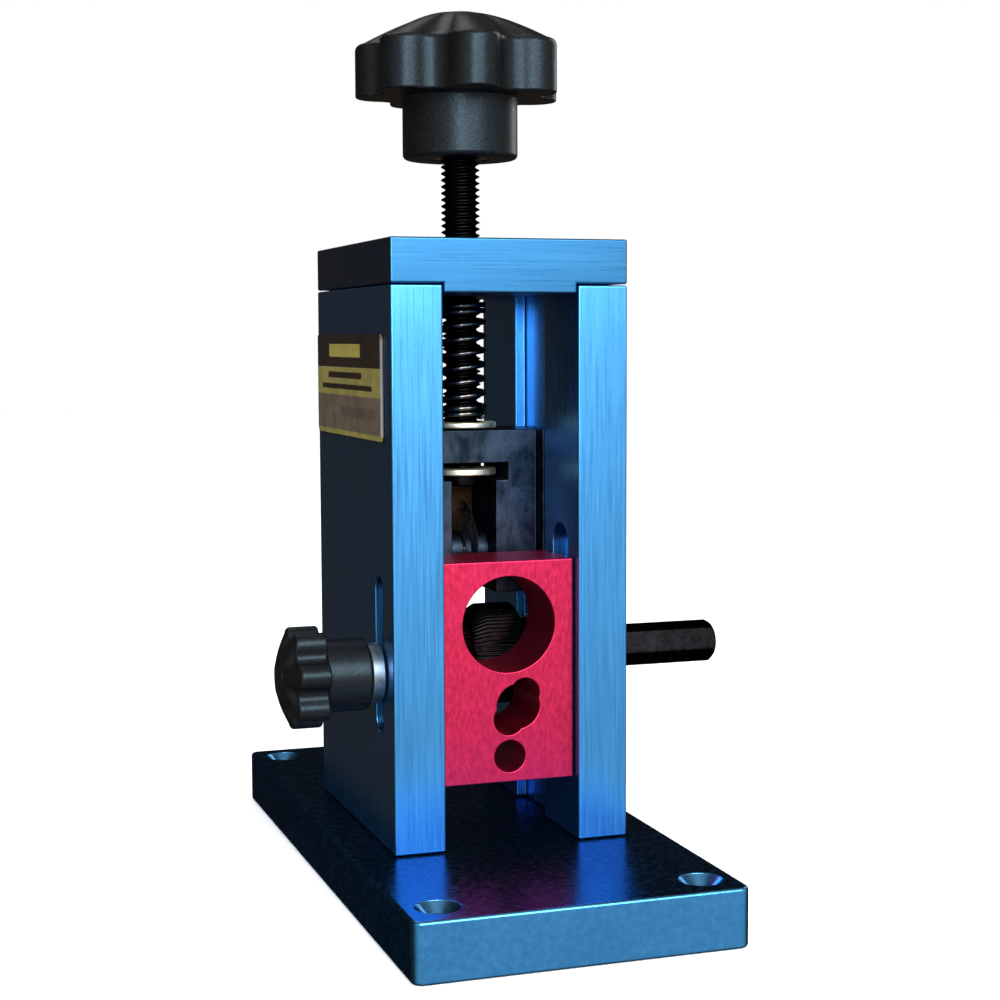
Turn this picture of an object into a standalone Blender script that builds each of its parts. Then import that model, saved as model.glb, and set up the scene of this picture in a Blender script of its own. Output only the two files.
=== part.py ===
"""Bench wire stripping machine: an upright blue frame with a feed roller, a spring-loaded blade
carriage on a threaded adjuster, and a red wire guide block that slides and locks.

Metres, +Z up. X runs across the frame (the drive shaft leaves it at +X), Y runs from the feed
side at the front to the back, and the origin is the middle of the base plate's underside.
"""

import math

import bmesh
import bpy
from mathutils import Matrix, Vector

MM = 0.001

# ---- clearances ----
GAP = 0.3 * MM  # between faces of two pieces that rest on, fit in or run on each other
LABEL_GAP = 0.12 * MM  # under the thin label
CUT_PAST = 2.0 * MM  # how far a cutter runs past the face it opens

# ---- base plate ----
BASE_BESIDE_FRAME = 9.525 * MM  # base plate to each side of the frame
BASE_LENGTH = 170.0 * MM
BASE_THICKNESS = 13.5 * MM
BASE_CORNER_RADIUS = 2.5 * MM
BASE_EDGE = 0.8 * MM
MOUNT_HOLE_DIAMETER = 5.3 * MM
MOUNT_SINK = 2.25 * MM  # how far the countersink stands out past the hole
MOUNT_INSET_X = 8.0 * MM
MOUNT_INSET_Y = 9.2 * MM

# ---- frame: two side plates and a top plate ----
FRAME_WIDTH = 57.15 * MM
FRAME_DEPTH = 70.8 * MM
FRAME_SHIFT_Y = -1.8 * MM  # middle of the frame, from the middle of the base
SIDE_THICKNESS = 12.25 * MM
SIDE_HEIGHT = 130.5 * MM
TOP_THICKNESS = 10.6 * MM
TOP_TONGUE = 1.9 * MM  # drops between the side plates
FRAME_EDGE = 0.5 * MM
SHARP_TURN = 60.0  # degrees between faces from which an edge is rounded

# ---- grooves that guide the blade carriage ----
GROOVE_AHEAD = 14.8 * MM  # groove's front wall ahead of the blade's axis
GROOVE_WIDTH = 21.4 * MM
GROOVE_DEPTH = 2.8 * MM

# ---- frame screws: countersunk, with a hexagon socket ----
BASE_SCREW = dict(shank=6.0 * MM, head=11.0 * MM, length=26.0 * MM, socket=4.0 * MM)
TOP_SCREW = dict(shank=5.0 * MM, head=9.2 * MM, length=24.0 * MM, socket=3.0 * MM)
SCREW_INSET_Y = 12.0 * MM  # from the frame's front and back faces
SCREW_RECESS = 0.4 * MM  # head below its surface
SCREW_HOLE_SPARE = 1.5 * MM  # tapped hole past the screw's end
SCREW_RIM = 0.4 * MM  # straight rim of a countersunk head
SCREW_POINT = 0.6 * MM  # chamfer at the end of a screw
SOCKET_SHARE = 0.55  # socket's depth as a share of the head's cone

# ---- drive: shaft, bushes and feed roller ----
DRIVE_HEIGHT = 39.4 * MM  # above the base plate
HEX_ACROSS_FLATS = 9.5 * MM
HEX_TURNED_DOWN = 0.5 * MM  # from the hexagon's flats to the round shaft's diameter
HEX_LENGTH = 38.8 * MM
HEX_TURN = -15.0  # degrees that the hexagon's corners stand off the vertical
HEX_CHAMFER = 0.7 * MM
BUSH_WALL = 2.0 * MM
BUSH_FLANGE = 2.4 * MM  # how far the flange stands out past the bush
BUSH_FLANGE_THICKNESS = 1.4 * MM
BLIND_WALL = 2.2 * MM  # left in the left plate behind its bush
ROLLER_DIAMETER = 25.4 * MM
ROLLER_BESIDE = 3.625 * MM  # from each side plate to the roller's face
ROLLER_HUB_DIAMETER = 17.0 * MM
ROLLER_GROOVE_WIDTH = 7.0 * MM
ROLLER_GROOVE_DEPTH = 2.2 * MM
ROLLER_EDGE = 0.6 * MM
ROLLER_SCREW_DIAMETER = 3.0 * MM
GRUB_SOCKET_SHARE = 0.4  # socket's depth as a share of a set screw's length
GRUB_EDGE_SHARE = 0.1  # chamfer as a share of a set screw's diameter

# ---- blade and its carriage ----
NIP = 0.8 * MM  # between the roller and the blade at rest
BLADE_DIAMETER = 25.4 * MM
BLADE_THICKNESS = 2.0 * MM
BLADE_BEVEL = 2.4 * MM
BLADE_EDGE = 0.3 * MM
AXLE_DIAMETER = 6.35 * MM
AXLE_EDGE = 0.5 * MM
SPACER_WALL = 1.625 * MM
CARRIAGE_DEPTH = 19.6 * MM
GUARD_WIDTH = 16.8 * MM
GUARD_THICKNESS = 1.0 * MM
GUARD_BELOW_TOP = 1.0 * MM  # from the carriage's top down to the guard's
GUARD_BESIDE_BLADE = 0.6 * MM
GUARD_OVER_BLADE = 0.8 * MM
CARRIAGE_BELOW_AXLE = 9.6 * MM
CARRIAGE_ABOVE_BLADE = 17.8 * MM
CARRIAGE_EDGE = 0.35 * MM
WINDOW_BESIDE_NUT = 0.4 * MM
WINDOW_OVERLAP = 1.0 * MM  # window's cutter up into the T slot
T_SLOT_BESIDE_RETAINER = 0.4 * MM
T_SLOT_HEIGHT = 4.2 * MM
T_SLOT_ROOF = 8.1 * MM  # steel above the T slot
AXLE_SCREW_DIAMETER = 4.0 * MM

# ---- adjuster ----
SCREW_DIAMETER = 9.525 * MM
SCREW_NECK_STEP = 1.7625 * MM  # shoulder from the thread down to the neck
SCREW_EDGE = 0.5 * MM
SEAT_WASHER_WALL = 3.4375 * MM
SEAT_WASHER_THICKNESS = 1.4 * MM
RETAINER_WALL = 5.1 * MM
RETAINER_THICKNESS = 1.6 * MM
RETAINER_LIFT = 1.0 * MM  # above the T slot's floor
NUT_WALL = 1.9 * MM
NUT_HEIGHT = 2.2 * MM
SPRING_WIRE = 1.3 * MM
SPRING_SPARE = 0.2375 * MM  # between the screw and the wire
SPRING_CLOSED_TURNS = 2.0  # at each end
SPRING_CLOSED_PITCH = 1.45 * MM
SPRING_OPEN_PITCH = 3.5 * MM
KNOB_RISE = 20.9 * MM  # underside of the knob's hub above the top plate
KNOB_HUB_DIAMETER = 28.2 * MM
KNOB_HUB_LENGTH = 14.9 * MM
KNOB_HEAD_LENGTH = 13.0 * MM
KNOB_LOBE_CENTRES = 19.4 * MM  # from the knob's axis
KNOB_LOBE_RADIUS = 6.2 * MM
KNOB_VALLEY_RADIUS = 5.0 * MM
KNOB_EDGE = 1.2 * MM
KNOB_DOME = 7.0 * MM
KNOB_CAP_RADIUS = 5.7 * MM
KNOB_TURN = 263.0  # degrees, direction of one lobe
KNOB_INSERT_WALL = 1.9375 * MM
KNOB_BORE_DEPTH = 16.0 * MM

# ---- wire guide block with its key and its lock ----
GUIDE_SET_BACK = 2.7 * MM
GUIDE_DEPTH = 19.05 * MM
GUIDE_TO_BLADE = 3.75 * MM  # from the block's back to the blade's and the roller's front
GUIDE_HEIGHT = 52.1 * MM
GUIDE_ABOVE_BASE = 14.8 * MM
GUIDE_EDGE = 0.4 * MM
# each wire hole: across from the middle, up from the block's underside, diameter
GUIDE_HOLES = {
    "large": (0.1 * MM, 37.2 * MM, 22.6 * MM),
    "middle_upper": (4.0 * MM, 20.8 * MM, 7.2 * MM),
    "middle": (2.3 * MM, 17.8 * MM, 10.6 * MM),
    "middle_lower": (0.1 * MM, 14.9 * MM, 7.6 * MM),
    "small": (0.2 * MM, 6.1 * MM, 7.6 * MM),
}
KEY_WIDTH = 9.6 * MM
KEY_HEIGHT = 28.0 * MM
KEY_IN_BLOCK = 2.2 * MM
KEY_SLOT_DEPTH = 3.4 * MM
KEY_SLOT_ABOVE = 19.6 * MM  # groove above the key's top end
KEY_SLOT_BELOW = 11.2 * MM  # groove below the key's bottom end
LOCK_SLOT_BESIDE_STUD = 0.325 * MM
LOCK_SLOT_ABOVE = 22.7 * MM  # slot's top above the stud's axis
LOCK_SLOT_BELOW = 14.2 * MM  # slot's bottom below the stud's axis
STUD_DIAMETER = 6.35 * MM
STUD_IN_BLOCK = 6.4 * MM
STUD_IN_KNOB = 11.0 * MM
STUD_EDGE = 0.6 * MM
LOCK_WASHER_WALL = 3.675 * MM
LOCK_WASHER_THICKNESS = 3.0 * MM
LOCK_HUB_DIAMETER = 16.8 * MM
LOCK_HUB_LENGTH = 10.4 * MM
LOCK_HEAD_LENGTH = 7.4 * MM
LOCK_LOBE_CENTRES = 9.3 * MM  # from the knob's axis
LOCK_LOBE_RADIUS = 2.7 * MM
LOCK_VALLEY_RADIUS = 2.0 * MM
LOCK_EDGE = 0.7 * MM
LOCK_DOME = 2.6 * MM
LOCK_CAP_RADIUS = 4.6 * MM
LOCK_TURN = 10.0  # degrees that the lobe nearest the front stands above level

# ---- label on the left plate ----
LABEL_INSET_FRONT = 6.0 * MM
LABEL_INSET_BACK = 1.0 * MM
LABEL_HEIGHT = 24.8 * MM
LABEL_BELOW_TOP = 11.0 * MM  # label's top edge below the side plate's top
LABEL_THICKNESS = 0.25 * MM

# ---- smoothness ----
ROUND_POINTS = 30
SMALL_POINTS = 18
SCREW_POINTS = 12
LOBE_COUNT = 7
POINTS_A_LOBE = 6
SPRING_POINTS_A_TURN = 16
SPRING_SIDES = 5
DOME_STEPS = 4
SLOT_STEPS = 8
SMOOTH_TURN = 35.0  # degrees between facets up to which they are shaded as one curve

# ---- sizes that follow from the sizes above ----
BASE_WIDTH = FRAME_WIDTH + 2 * BASE_BESIDE_FRAME
SHAFT_DIAMETER = HEX_ACROSS_FLATS - HEX_TURNED_DOWN
SCREW_NECK_DIAMETER = SCREW_DIAMETER - 2 * SCREW_NECK_STEP
SCREW_HOLE_DIAMETER = SCREW_DIAMETER + 2 * GAP
NECK_HOLE_DIAMETER = SCREW_NECK_DIAMETER + 2 * GAP
SEAT_WASHER_DIAMETER = SCREW_HOLE_DIAMETER + 2 * SEAT_WASHER_WALL
RETAINER_DIAMETER = NECK_HOLE_DIAMETER + 2 * RETAINER_WALL
NUT_DIAMETER = NECK_HOLE_DIAMETER + 2 * NUT_WALL
KNOB_INSERT_DIAMETER = SCREW_HOLE_DIAMETER + 2 * KNOB_INSERT_WALL
SPRING_DIAMETER = SCREW_DIAMETER + 2 * (SPRING_SPARE + SPRING_WIRE)
T_SLOT_WIDTH = RETAINER_DIAMETER + 2 * T_SLOT_BESIDE_RETAINER
WINDOW_WIDTH = NUT_DIAMETER + 2 * WINDOW_BESIDE_NUT
AXLE_HOLE_DIAMETER = AXLE_DIAMETER + 2 * GAP
SPACER_DIAMETER = AXLE_HOLE_DIAMETER + 2 * SPACER_WALL
STUD_HOLE_DIAMETER = STUD_DIAMETER + 2 * GAP
LOCK_SLOT_WIDTH = STUD_DIAMETER + 2 * LOCK_SLOT_BESIDE_STUD
LOCK_WASHER_DIAMETER = STUD_HOLE_DIAMETER + 2 * LOCK_WASHER_WALL

# ---- places that follow from the sizes above ----
FRONT_Y = FRAME_SHIFT_Y - FRAME_DEPTH / 2
BACK_Y = FRAME_SHIFT_Y + FRAME_DEPTH / 2
INNER_X = FRAME_WIDTH / 2 - SIDE_THICKNESS
OUTER_X = FRAME_WIDTH / 2
SIDE_BOTTOM_Z = BASE_THICKNESS + GAP
SIDE_TOP_Z = BASE_THICKNESS + SIDE_HEIGHT
TOP_UNDERSIDE_Z = SIDE_TOP_Z + GAP
TOP_Z = SIDE_TOP_Z + TOP_THICKNESS
TONGUE_Z = SIDE_TOP_Z - TOP_TONGUE
GUIDE_BACK_Y = FRONT_Y + GUIDE_SET_BACK + GUIDE_DEPTH
DRIVE_Y = GUIDE_BACK_Y + GUIDE_TO_BLADE + max(BLADE_DIAMETER, ROLLER_DIAMETER) / 2
GROOVE_Y = DRIVE_Y - GROOVE_AHEAD
DRIVE_Z = BASE_THICKNESS + DRIVE_HEIGHT
AXLE_Z = DRIVE_Z + ROLLER_DIAMETER / 2 + NIP + BLADE_DIAMETER / 2
CARRIAGE_BOTTOM_Z = AXLE_Z - CARRIAGE_BELOW_AXLE
CARRIAGE_TOP_Z = AXLE_Z + BLADE_DIAMETER / 2 + CARRIAGE_ABOVE_BLADE
GROOVE_FLOOR_X = INNER_X + GROOVE_DEPTH
BUSH_BORE = SHAFT_DIAMETER / 2 + GAP
BUSH_RADIUS = BUSH_BORE + BUSH_WALL
BUSH_FLANGE_RADIUS = BUSH_RADIUS + BUSH_FLANGE
BUSH_FACE_X = GROOVE_FLOOR_X - GAP - BUSH_FLANGE_THICKNESS
ROLLER_WIDTH = 2 * (INNER_X - ROLLER_BESIDE)
T_SLOT_TOP_Z = CARRIAGE_TOP_Z - T_SLOT_ROOF
T_SLOT_FLOOR_Z = T_SLOT_TOP_Z - T_SLOT_HEIGHT
RETAINER_Z = T_SLOT_FLOOR_Z + RETAINER_LIFT
KNOB_Z = TOP_Z + KNOB_RISE
GUIDE_Y = GUIDE_BACK_Y - GUIDE_DEPTH / 2
GUIDE_BOTTOM_Z = BASE_THICKNESS + GUIDE_ABOVE_BASE
LOCK_Z = GUIDE_BOTTOM_Z + GUIDE_HEIGHT / 2
GUIDE_HALF_WIDTH = INNER_X - GAP
LOCK_WASHER_X = -OUTER_X - GAP
LOCK_HUB_X = LOCK_WASHER_X - LOCK_WASHER_THICKNESS - GAP

# local +Z turned to point along these directions
ALONG_X = Matrix.Rotation(math.radians(90), 4, "Y")
ALONG_MINUS_X = Matrix.Rotation(math.radians(-90), 4, "Y")
ALONG_Y = Matrix.Rotation(math.radians(-90), 4, "X")
ALONG_Z = Matrix.Identity(4)
DOWN = Matrix.Rotation(math.radians(180), 4, "X")


# ---- helpers ----
def material(name, colour, roughness, metallic):
    made = bpy.data.materials.new(name)
    made.use_nodes = True
    shader = made.node_tree.nodes["Principled BSDF"]
    shader.inputs["Base Color"].default_value = (*colour, 1.0)
    shader.inputs["Roughness"].default_value = roughness
    shader.inputs["Metallic"].default_value = metallic
    return made


def new_object(name, mesh, finish=None, place=(0, 0, 0), turn=ALONG_Z):
    """An object whose origin is at place, with its local +Z turned as given."""
    made = bpy.data.objects.new(name, mesh)
    made.matrix_world = Matrix.Translation(Vector(place)) @ turn
    bpy.context.collection.objects.link(made)
    if finish is not None:
        mesh.materials.append(finish)
    return made


def box_mesh(name, low, high):
    mesh = bpy.data.meshes.new(name)
    shape = bmesh.new()
    bmesh.ops.create_cube(shape, size=1.0)
    for vertex in shape.verts:
        for axis in range(3):
            vertex.co[axis] = low[axis] if vertex.co[axis] < 0 else high[axis]
    shape.to_mesh(mesh)
    shape.free()
    return mesh


def prism_mesh(name, outline, low, high):
    """A flat outline of (x, y) points, anticlockwise, from z = low to z = high."""
    mesh = bpy.data.meshes.new(name)
    shape = bmesh.new()
    face = shape.faces.new([shape.verts.new((x, y, low)) for x, y in outline])
    grown = bmesh.ops.extrude_face_region(shape, geom=[face])
    for item in grown["geom"]:
        if isinstance(item, bmesh.types.BMVert):
            item.co.z = high
    bmesh.ops.recalc_face_normals(shape, faces=shape.faces)
    shape.to_mesh(mesh)
    shape.free()
    return mesh


def lofted_mesh(name, rows, points, ring=False):
    """Rings of points about local Z, joined one after the other.

    Each row is (z, radius), where the radius is a number or a function of the angle. A ring
    joins its last row to its first; otherwise flat faces close both ends.
    """
    mesh = bpy.data.meshes.new(name)
    shape = bmesh.new()
    angles = [2 * math.pi * i / points for i in range(points)]
    loops = []
    for z, radius in rows:
        sizes = [radius(a) if callable(radius) else radius for a in angles]
        loops.append(
            [shape.verts.new((r * math.cos(a), r * math.sin(a), z)) for r, a in zip(sizes, angles)]
        )
    following = loops[1:] + loops[:1] if ring else loops[1:]
    for first, second in zip(loops, following):
        for i in range(points):
            j = (i + 1) % points
            shape.faces.new((first[i], first[j], second[j], second[i]))
    if not ring:
        shape.faces.new(loops[0])
        shape.faces.new(loops[-1])
    bmesh.ops.recalc_face_normals(shape, faces=shape.faces)
    shape.to_mesh(mesh)
    shape.free()
    mesh.shade_smooth()
    mesh.set_sharp_from_angle(angle=math.radians(SMOOTH_TURN))
    return mesh


def rod_rows(low, high, diameter, edge):
    """Rows of a plain rod with a small chamfer at each end."""
    r = diameter / 2
    return [(low, r - edge), (low + edge, r), (high - edge, r), (high, r - edge)]


def washer_rows(low, high, outside, inside):
    return [(low, inside / 2), (low, outside / 2), (high, outside / 2), (high, inside / 2)]


def slot_outline(width, low, high, steps=SLOT_STEPS):
    """A slot with round ends: width across x, from y = low to y = high."""
    r = width / 2
    upper = [math.pi * i / steps for i in range(steps + 1)]
    top = [(r * math.cos(a), high - r + r * math.sin(a)) for a in upper]
    bottom = [(-r * math.cos(a), low + r - r * math.sin(a)) for a in upper]
    return top + bottom


def hexagon(across_flats):
    """Radius of a hexagon with a corner at angle 0."""
    flat = across_flats / 2
    return lambda angle: flat / math.cos((angle % (math.pi / 3)) - math.pi / 6)


def lobes(centre_radius, lobe_radius, valley_radius):
    """Radius of a fluted outline: round lobes joined by round valleys, one lobe at angle 0."""
    half = math.pi / LOBE_COUNT
    reach = lobe_radius + valley_radius
    valley_centre = centre_radius * math.cos(half) + math.sqrt(
        reach**2 - (centre_radius * math.sin(half)) ** 2
    )
    share = lobe_radius / reach
    meet_x = centre_radius + share * (valley_centre * math.cos(half) - centre_radius)
    meet_y = share * valley_centre * math.sin(half)
    meet = math.atan2(meet_y, meet_x)

    def radius(angle):
        off = abs((angle + half) % (2 * half) - half)
        if off < meet:
            inside = lobe_radius**2 - (centre_radius * math.sin(off)) ** 2
            return centre_radius * math.cos(off) + math.sqrt(inside)
        off = half - off
        inside = valley_radius**2 - (valley_centre * math.sin(off)) ** 2
        return valley_centre * math.cos(off) - math.sqrt(inside)

    return radius


def shrunk(radius, by):
    return lambda angle: radius(angle) - by


def mixed(radius, share, cap):
    """From the round cap (share 0) to the full outline (share 1)."""
    return lambda angle: cap + (radius(angle) - cap) * share


def bevel(target, width, segments=1, vertical_only=False):
    """Rounds the edges, or only the upright ones, in the mesh itself."""
    shape = bmesh.new()
    shape.from_mesh(target.data)
    edges = list(shape.edges)
    if vertical_only:
        edges = [e for e in edges if abs((e.verts[0].co - e.verts[1].co).normalized().z) > 0.99]
    else:
        edges = [e for e in edges if e.calc_face_angle(0) > math.radians(SHARP_TURN)]
    bmesh.ops.bevel(
        shape, geom=edges, offset=width, segments=segments, profile=0.5, affect="EDGES"
    )
    shape.to_mesh(target.data)
    shape.free()


def cut(target, cutter):
    """Cuts the cutter out of the target, and leaves the cutter as a guide."""
    cutter.hide_render = True
    cutter.display_type = "WIRE"
    boolean = target.modifiers.new(cutter.name, "BOOLEAN")
    boolean.operation = "DIFFERENCE"
    boolean.solver = "EXACT"
    boolean.object = cutter


def cut_box(target, name, low, high):
    cut(target, new_object(name, box_mesh(name, low, high)))


def cut_round(target, name, place, turn, rows, points=SMALL_POINTS):
    cut(target, new_object(name, lofted_mesh(name, rows, points), place=place, turn=turn))


# ---- finishes ----
def make_finishes():
    return {
        "blue": material("blue_anodised", (0.06, 0.27, 0.62), 0.35, 0.85),
        "red": material("red_anodised", (0.62, 0.03, 0.09), 0.35, 0.8),
        "black_plastic": material("black_plastic", (0.015, 0.015, 0.016), 0.38, 0.0),
        "dark_steel": material("dark_steel", (0.07, 0.08, 0.10), 0.42, 0.9),
        "black_oxide": material("black_oxide", (0.02, 0.02, 0.022), 0.38, 0.8),
        "bright_steel": material("bright_steel", (0.55, 0.56, 0.58), 0.25, 1.0),
        "zinc": material("zinc_yellow", (0.72, 0.68, 0.48), 0.3, 1.0),
        "grey_steel": material("grey_steel", (0.20, 0.24, 0.28), 0.45, 0.9),
        "bronze": material("bronze", (0.42, 0.25, 0.10), 0.4, 1.0),
        "brass": material("brass", (0.60, 0.43, 0.16), 0.3, 1.0),
        "label": material("printed_label", (0.70, 0.58, 0.12), 0.5, 0.0),
    }


# ---- frame ----
def frame_screw_points():
    """Where the four screws of the base plate and of the top plate stand."""
    across = (INNER_X + OUTER_X) / 2
    return [
        (side * across, y)
        for side in (-1, 1)
        for y in (FRONT_Y + SCREW_INSET_Y, BACK_Y - SCREW_INSET_Y)
    ]


def screw_rows(kind):
    """A countersunk screw from its head's face at z = 0 down to its end, socket first."""
    socket = hexagon(kind["socket"])
    shank = kind["shank"] / 2
    head = kind["head"] / 2
    cone = head - shank
    return [
        (-SOCKET_SHARE * cone - SCREW_RIM, socket),
        (0, socket),
        (0, head),
        (-SCREW_RIM, head),
        (-SCREW_RIM - cone, shank),
        (SCREW_POINT - kind["length"], shank),
        (-kind["length"], shank - SCREW_POINT),
    ]


def sink_rows(kind, depth):
    """The countersunk hole of such a screw, from past the surface at z = 0 down to depth."""
    head = kind["head"] / 2 + GAP
    shank = kind["shank"] / 2 + GAP
    rim = SCREW_RECESS + SCREW_RIM
    return [(CUT_PAST, head), (-rim, head), (-rim - (head - shank), shank), (-depth, shank)]


def make_base(finishes):
    half_width = BASE_WIDTH / 2
    half_length = BASE_LENGTH / 2
    low = (-half_width, -half_length, 0)
    high = (half_width, half_length, BASE_THICKNESS)
    base = new_object("base_plate", box_mesh("base_plate", low, high), finishes["blue"])
    bevel(base, BASE_CORNER_RADIUS, segments=4, vertical_only=True)
    bevel(base, BASE_EDGE)
    hole = MOUNT_HOLE_DIAMETER / 2
    sink = hole + MOUNT_SINK
    rows = [(CUT_PAST, sink), (0, sink), (hole - sink, hole), (-BASE_THICKNESS - CUT_PAST, hole)]
    for side in (-1, 1):
        for end in (-1, 1):
            x = side * (half_width - MOUNT_INSET_X)
            y = end * (half_length - MOUNT_INSET_Y)
            place = (x, y, BASE_THICKNESS)
            cut_round(base, "cut_mount_hole", place, ALONG_Z, rows)
    for x, y in frame_screw_points():
        rows = sink_rows(BASE_SCREW, BASE_THICKNESS + CUT_PAST)
        cut_round(base, "cut_base_screw", (x, y, 0), DOWN, rows, SCREW_POINTS)


def make_side_plate(side, finishes):
    name = "left_side_plate" if side < 0 else "right_side_plate"
    xs = sorted((side * INNER_X, side * OUTER_X))
    low = (xs[0], FRONT_Y, SIDE_BOTTOM_Z)
    high = (xs[1], BACK_Y, SIDE_TOP_Z)
    plate = new_object(name, box_mesh(name, low, high), finishes["blue"])
    bevel(plate, FRAME_EDGE)

    groove_x = sorted((side * (INNER_X - CUT_PAST), side * GROOVE_FLOOR_X))
    cut_box(
        plate,
        "cut_carriage_groove",
        (groove_x[0], GROOVE_Y, SIDE_BOTTOM_Z - CUT_PAST),
        (groove_x[1], GROOVE_Y + GROOVE_WIDTH, SIDE_TOP_Z + CUT_PAST),
    )

    seat = BUSH_FLANGE_RADIUS + GAP
    bore = BUSH_RADIUS + GAP
    bore_end = OUTER_X - BLIND_WALL if side < 0 else OUTER_X + CUT_PAST
    rows = [(INNER_X - CUT_PAST, seat), (GROOVE_FLOOR_X, seat), (GROOVE_FLOOR_X, bore)]
    rows.append((bore_end, bore))
    turn = ALONG_MINUS_X if side < 0 else ALONG_X
    cut_round(plate, "cut_bush_bore", (0, DRIVE_Y, DRIVE_Z), turn, rows)

    for x, y in frame_screw_points():
        if x * side > 0:
            for kind, z, way in ((BASE_SCREW, 0, ALONG_Z), (TOP_SCREW, TOP_Z, DOWN)):
                shank = kind["shank"] / 2 + GAP
                end = SCREW_RECESS + kind["length"] + SCREW_HOLE_SPARE
                start = (SIDE_BOTTOM_Z if z == 0 else TOP_Z - SIDE_TOP_Z) - CUT_PAST
                rows = [(start, shank), (end, shank)]
                cut_round(plate, "cut_screw_hole", (x, y, z), way, rows, SCREW_POINTS)

    if side < 0:
        outline = slot_outline(LOCK_SLOT_WIDTH, -LOCK_SLOT_BELOW, LOCK_SLOT_ABOVE)
        depths = (INNER_X - CUT_PAST, OUTER_X + CUT_PAST)
    else:
        key_half = KEY_HEIGHT / 2
        outline = slot_outline(
            KEY_WIDTH + 2 * GAP, -key_half - KEY_SLOT_BELOW, key_half + KEY_SLOT_ABOVE
        )
        depths = (INNER_X - CUT_PAST, INNER_X + KEY_SLOT_DEPTH)
    upright = [(-y, x) for x, y in outline] if side > 0 else [(y, x) for x, y in outline]
    slot = prism_mesh("cut_guide_slot", upright, *depths)
    cut(plate, new_object("cut_guide_slot", slot, place=(0, GUIDE_Y, LOCK_Z), turn=turn))


def make_top_plate(finishes):
    tongue = INNER_X - GAP
    outline = [
        (-OUTER_X, TOP_UNDERSIDE_Z),
        (-tongue, TOP_UNDERSIDE_Z),
        (-tongue, TONGUE_Z),
        (tongue, TONGUE_Z),
        (tongue, TOP_UNDERSIDE_Z),
        (OUTER_X, TOP_UNDERSIDE_Z),
        (OUTER_X, TOP_Z),
        (-OUTER_X, TOP_Z),
    ]
    # the outline lies in X and Z, so it is drawn flat and stood up facing the front
    mesh = prism_mesh("top_plate", outline, -BACK_Y, -FRONT_Y)
    mesh.transform(Matrix.Rotation(math.radians(90), 4, "X"))
    top = new_object("top_plate", mesh, finishes["blue"])
    bevel(top, FRAME_EDGE)
    hole = SCREW_HOLE_DIAMETER / 2
    rows = [(TONGUE_Z - CUT_PAST, hole), (TOP_Z + CUT_PAST, hole)]
    cut_round(top, "cut_adjuster_hole", (0, DRIVE_Y, 0), ALONG_Z, rows, ROUND_POINTS)
    for x, y in frame_screw_points():
        rows = sink_rows(TOP_SCREW, TOP_THICKNESS + CUT_PAST)
        cut_round(top, "cut_top_screw", (x, y, TOP_Z), ALONG_Z, rows, SCREW_POINTS)


def make_frame_screws(finishes):
    for number, (x, y) in enumerate(frame_screw_points(), start=1):
        for label, kind, z, way in (
            ("base_screw", BASE_SCREW, SCREW_RECESS, DOWN),
            ("top_screw", TOP_SCREW, TOP_Z - SCREW_RECESS, ALONG_Z),
        ):
            name = f"{label}_{number}"
            mesh = lofted_mesh(name, screw_rows(kind), SCREW_POINTS)
            new_object(name, mesh, finishes["black_oxide"], (x, y, z), way)


def make_label(finishes):
    top = SIDE_TOP_Z - LABEL_BELOW_TOP
    outer = -OUTER_X - LABEL_GAP
    low = (outer - LABEL_THICKNESS, FRONT_Y + LABEL_INSET_FRONT, top - LABEL_HEIGHT)
    high = (outer, BACK_Y - LABEL_INSET_BACK, top)
    new_object("side_label", box_mesh("side_label", low, high), finishes["label"])


# ---- drive ----
def make_bush(side, finishes):
    """A flanged bush, pushed in from inside, its flange on the groove's floor."""
    length_end = OUTER_X - (BLIND_WALL if side < 0 else 0) - GAP
    rows = [
        (BUSH_FACE_X, BUSH_BORE),
        (BUSH_FACE_X, BUSH_FLANGE_RADIUS),
        (GROOVE_FLOOR_X - GAP, BUSH_FLANGE_RADIUS),
        (GROOVE_FLOOR_X - GAP, BUSH_RADIUS),
        (length_end, BUSH_RADIUS),
        (length_end, BUSH_BORE),
    ]
    name = "left_shaft_bush" if side < 0 else "right_shaft_bush"
    mesh = lofted_mesh(name, rows, SMALL_POINTS, ring=True)
    turn = ALONG_MINUS_X if side < 0 else ALONG_X
    new_object(name, mesh, finishes["bronze"], (0, DRIVE_Y, DRIVE_Z), turn)


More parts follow.
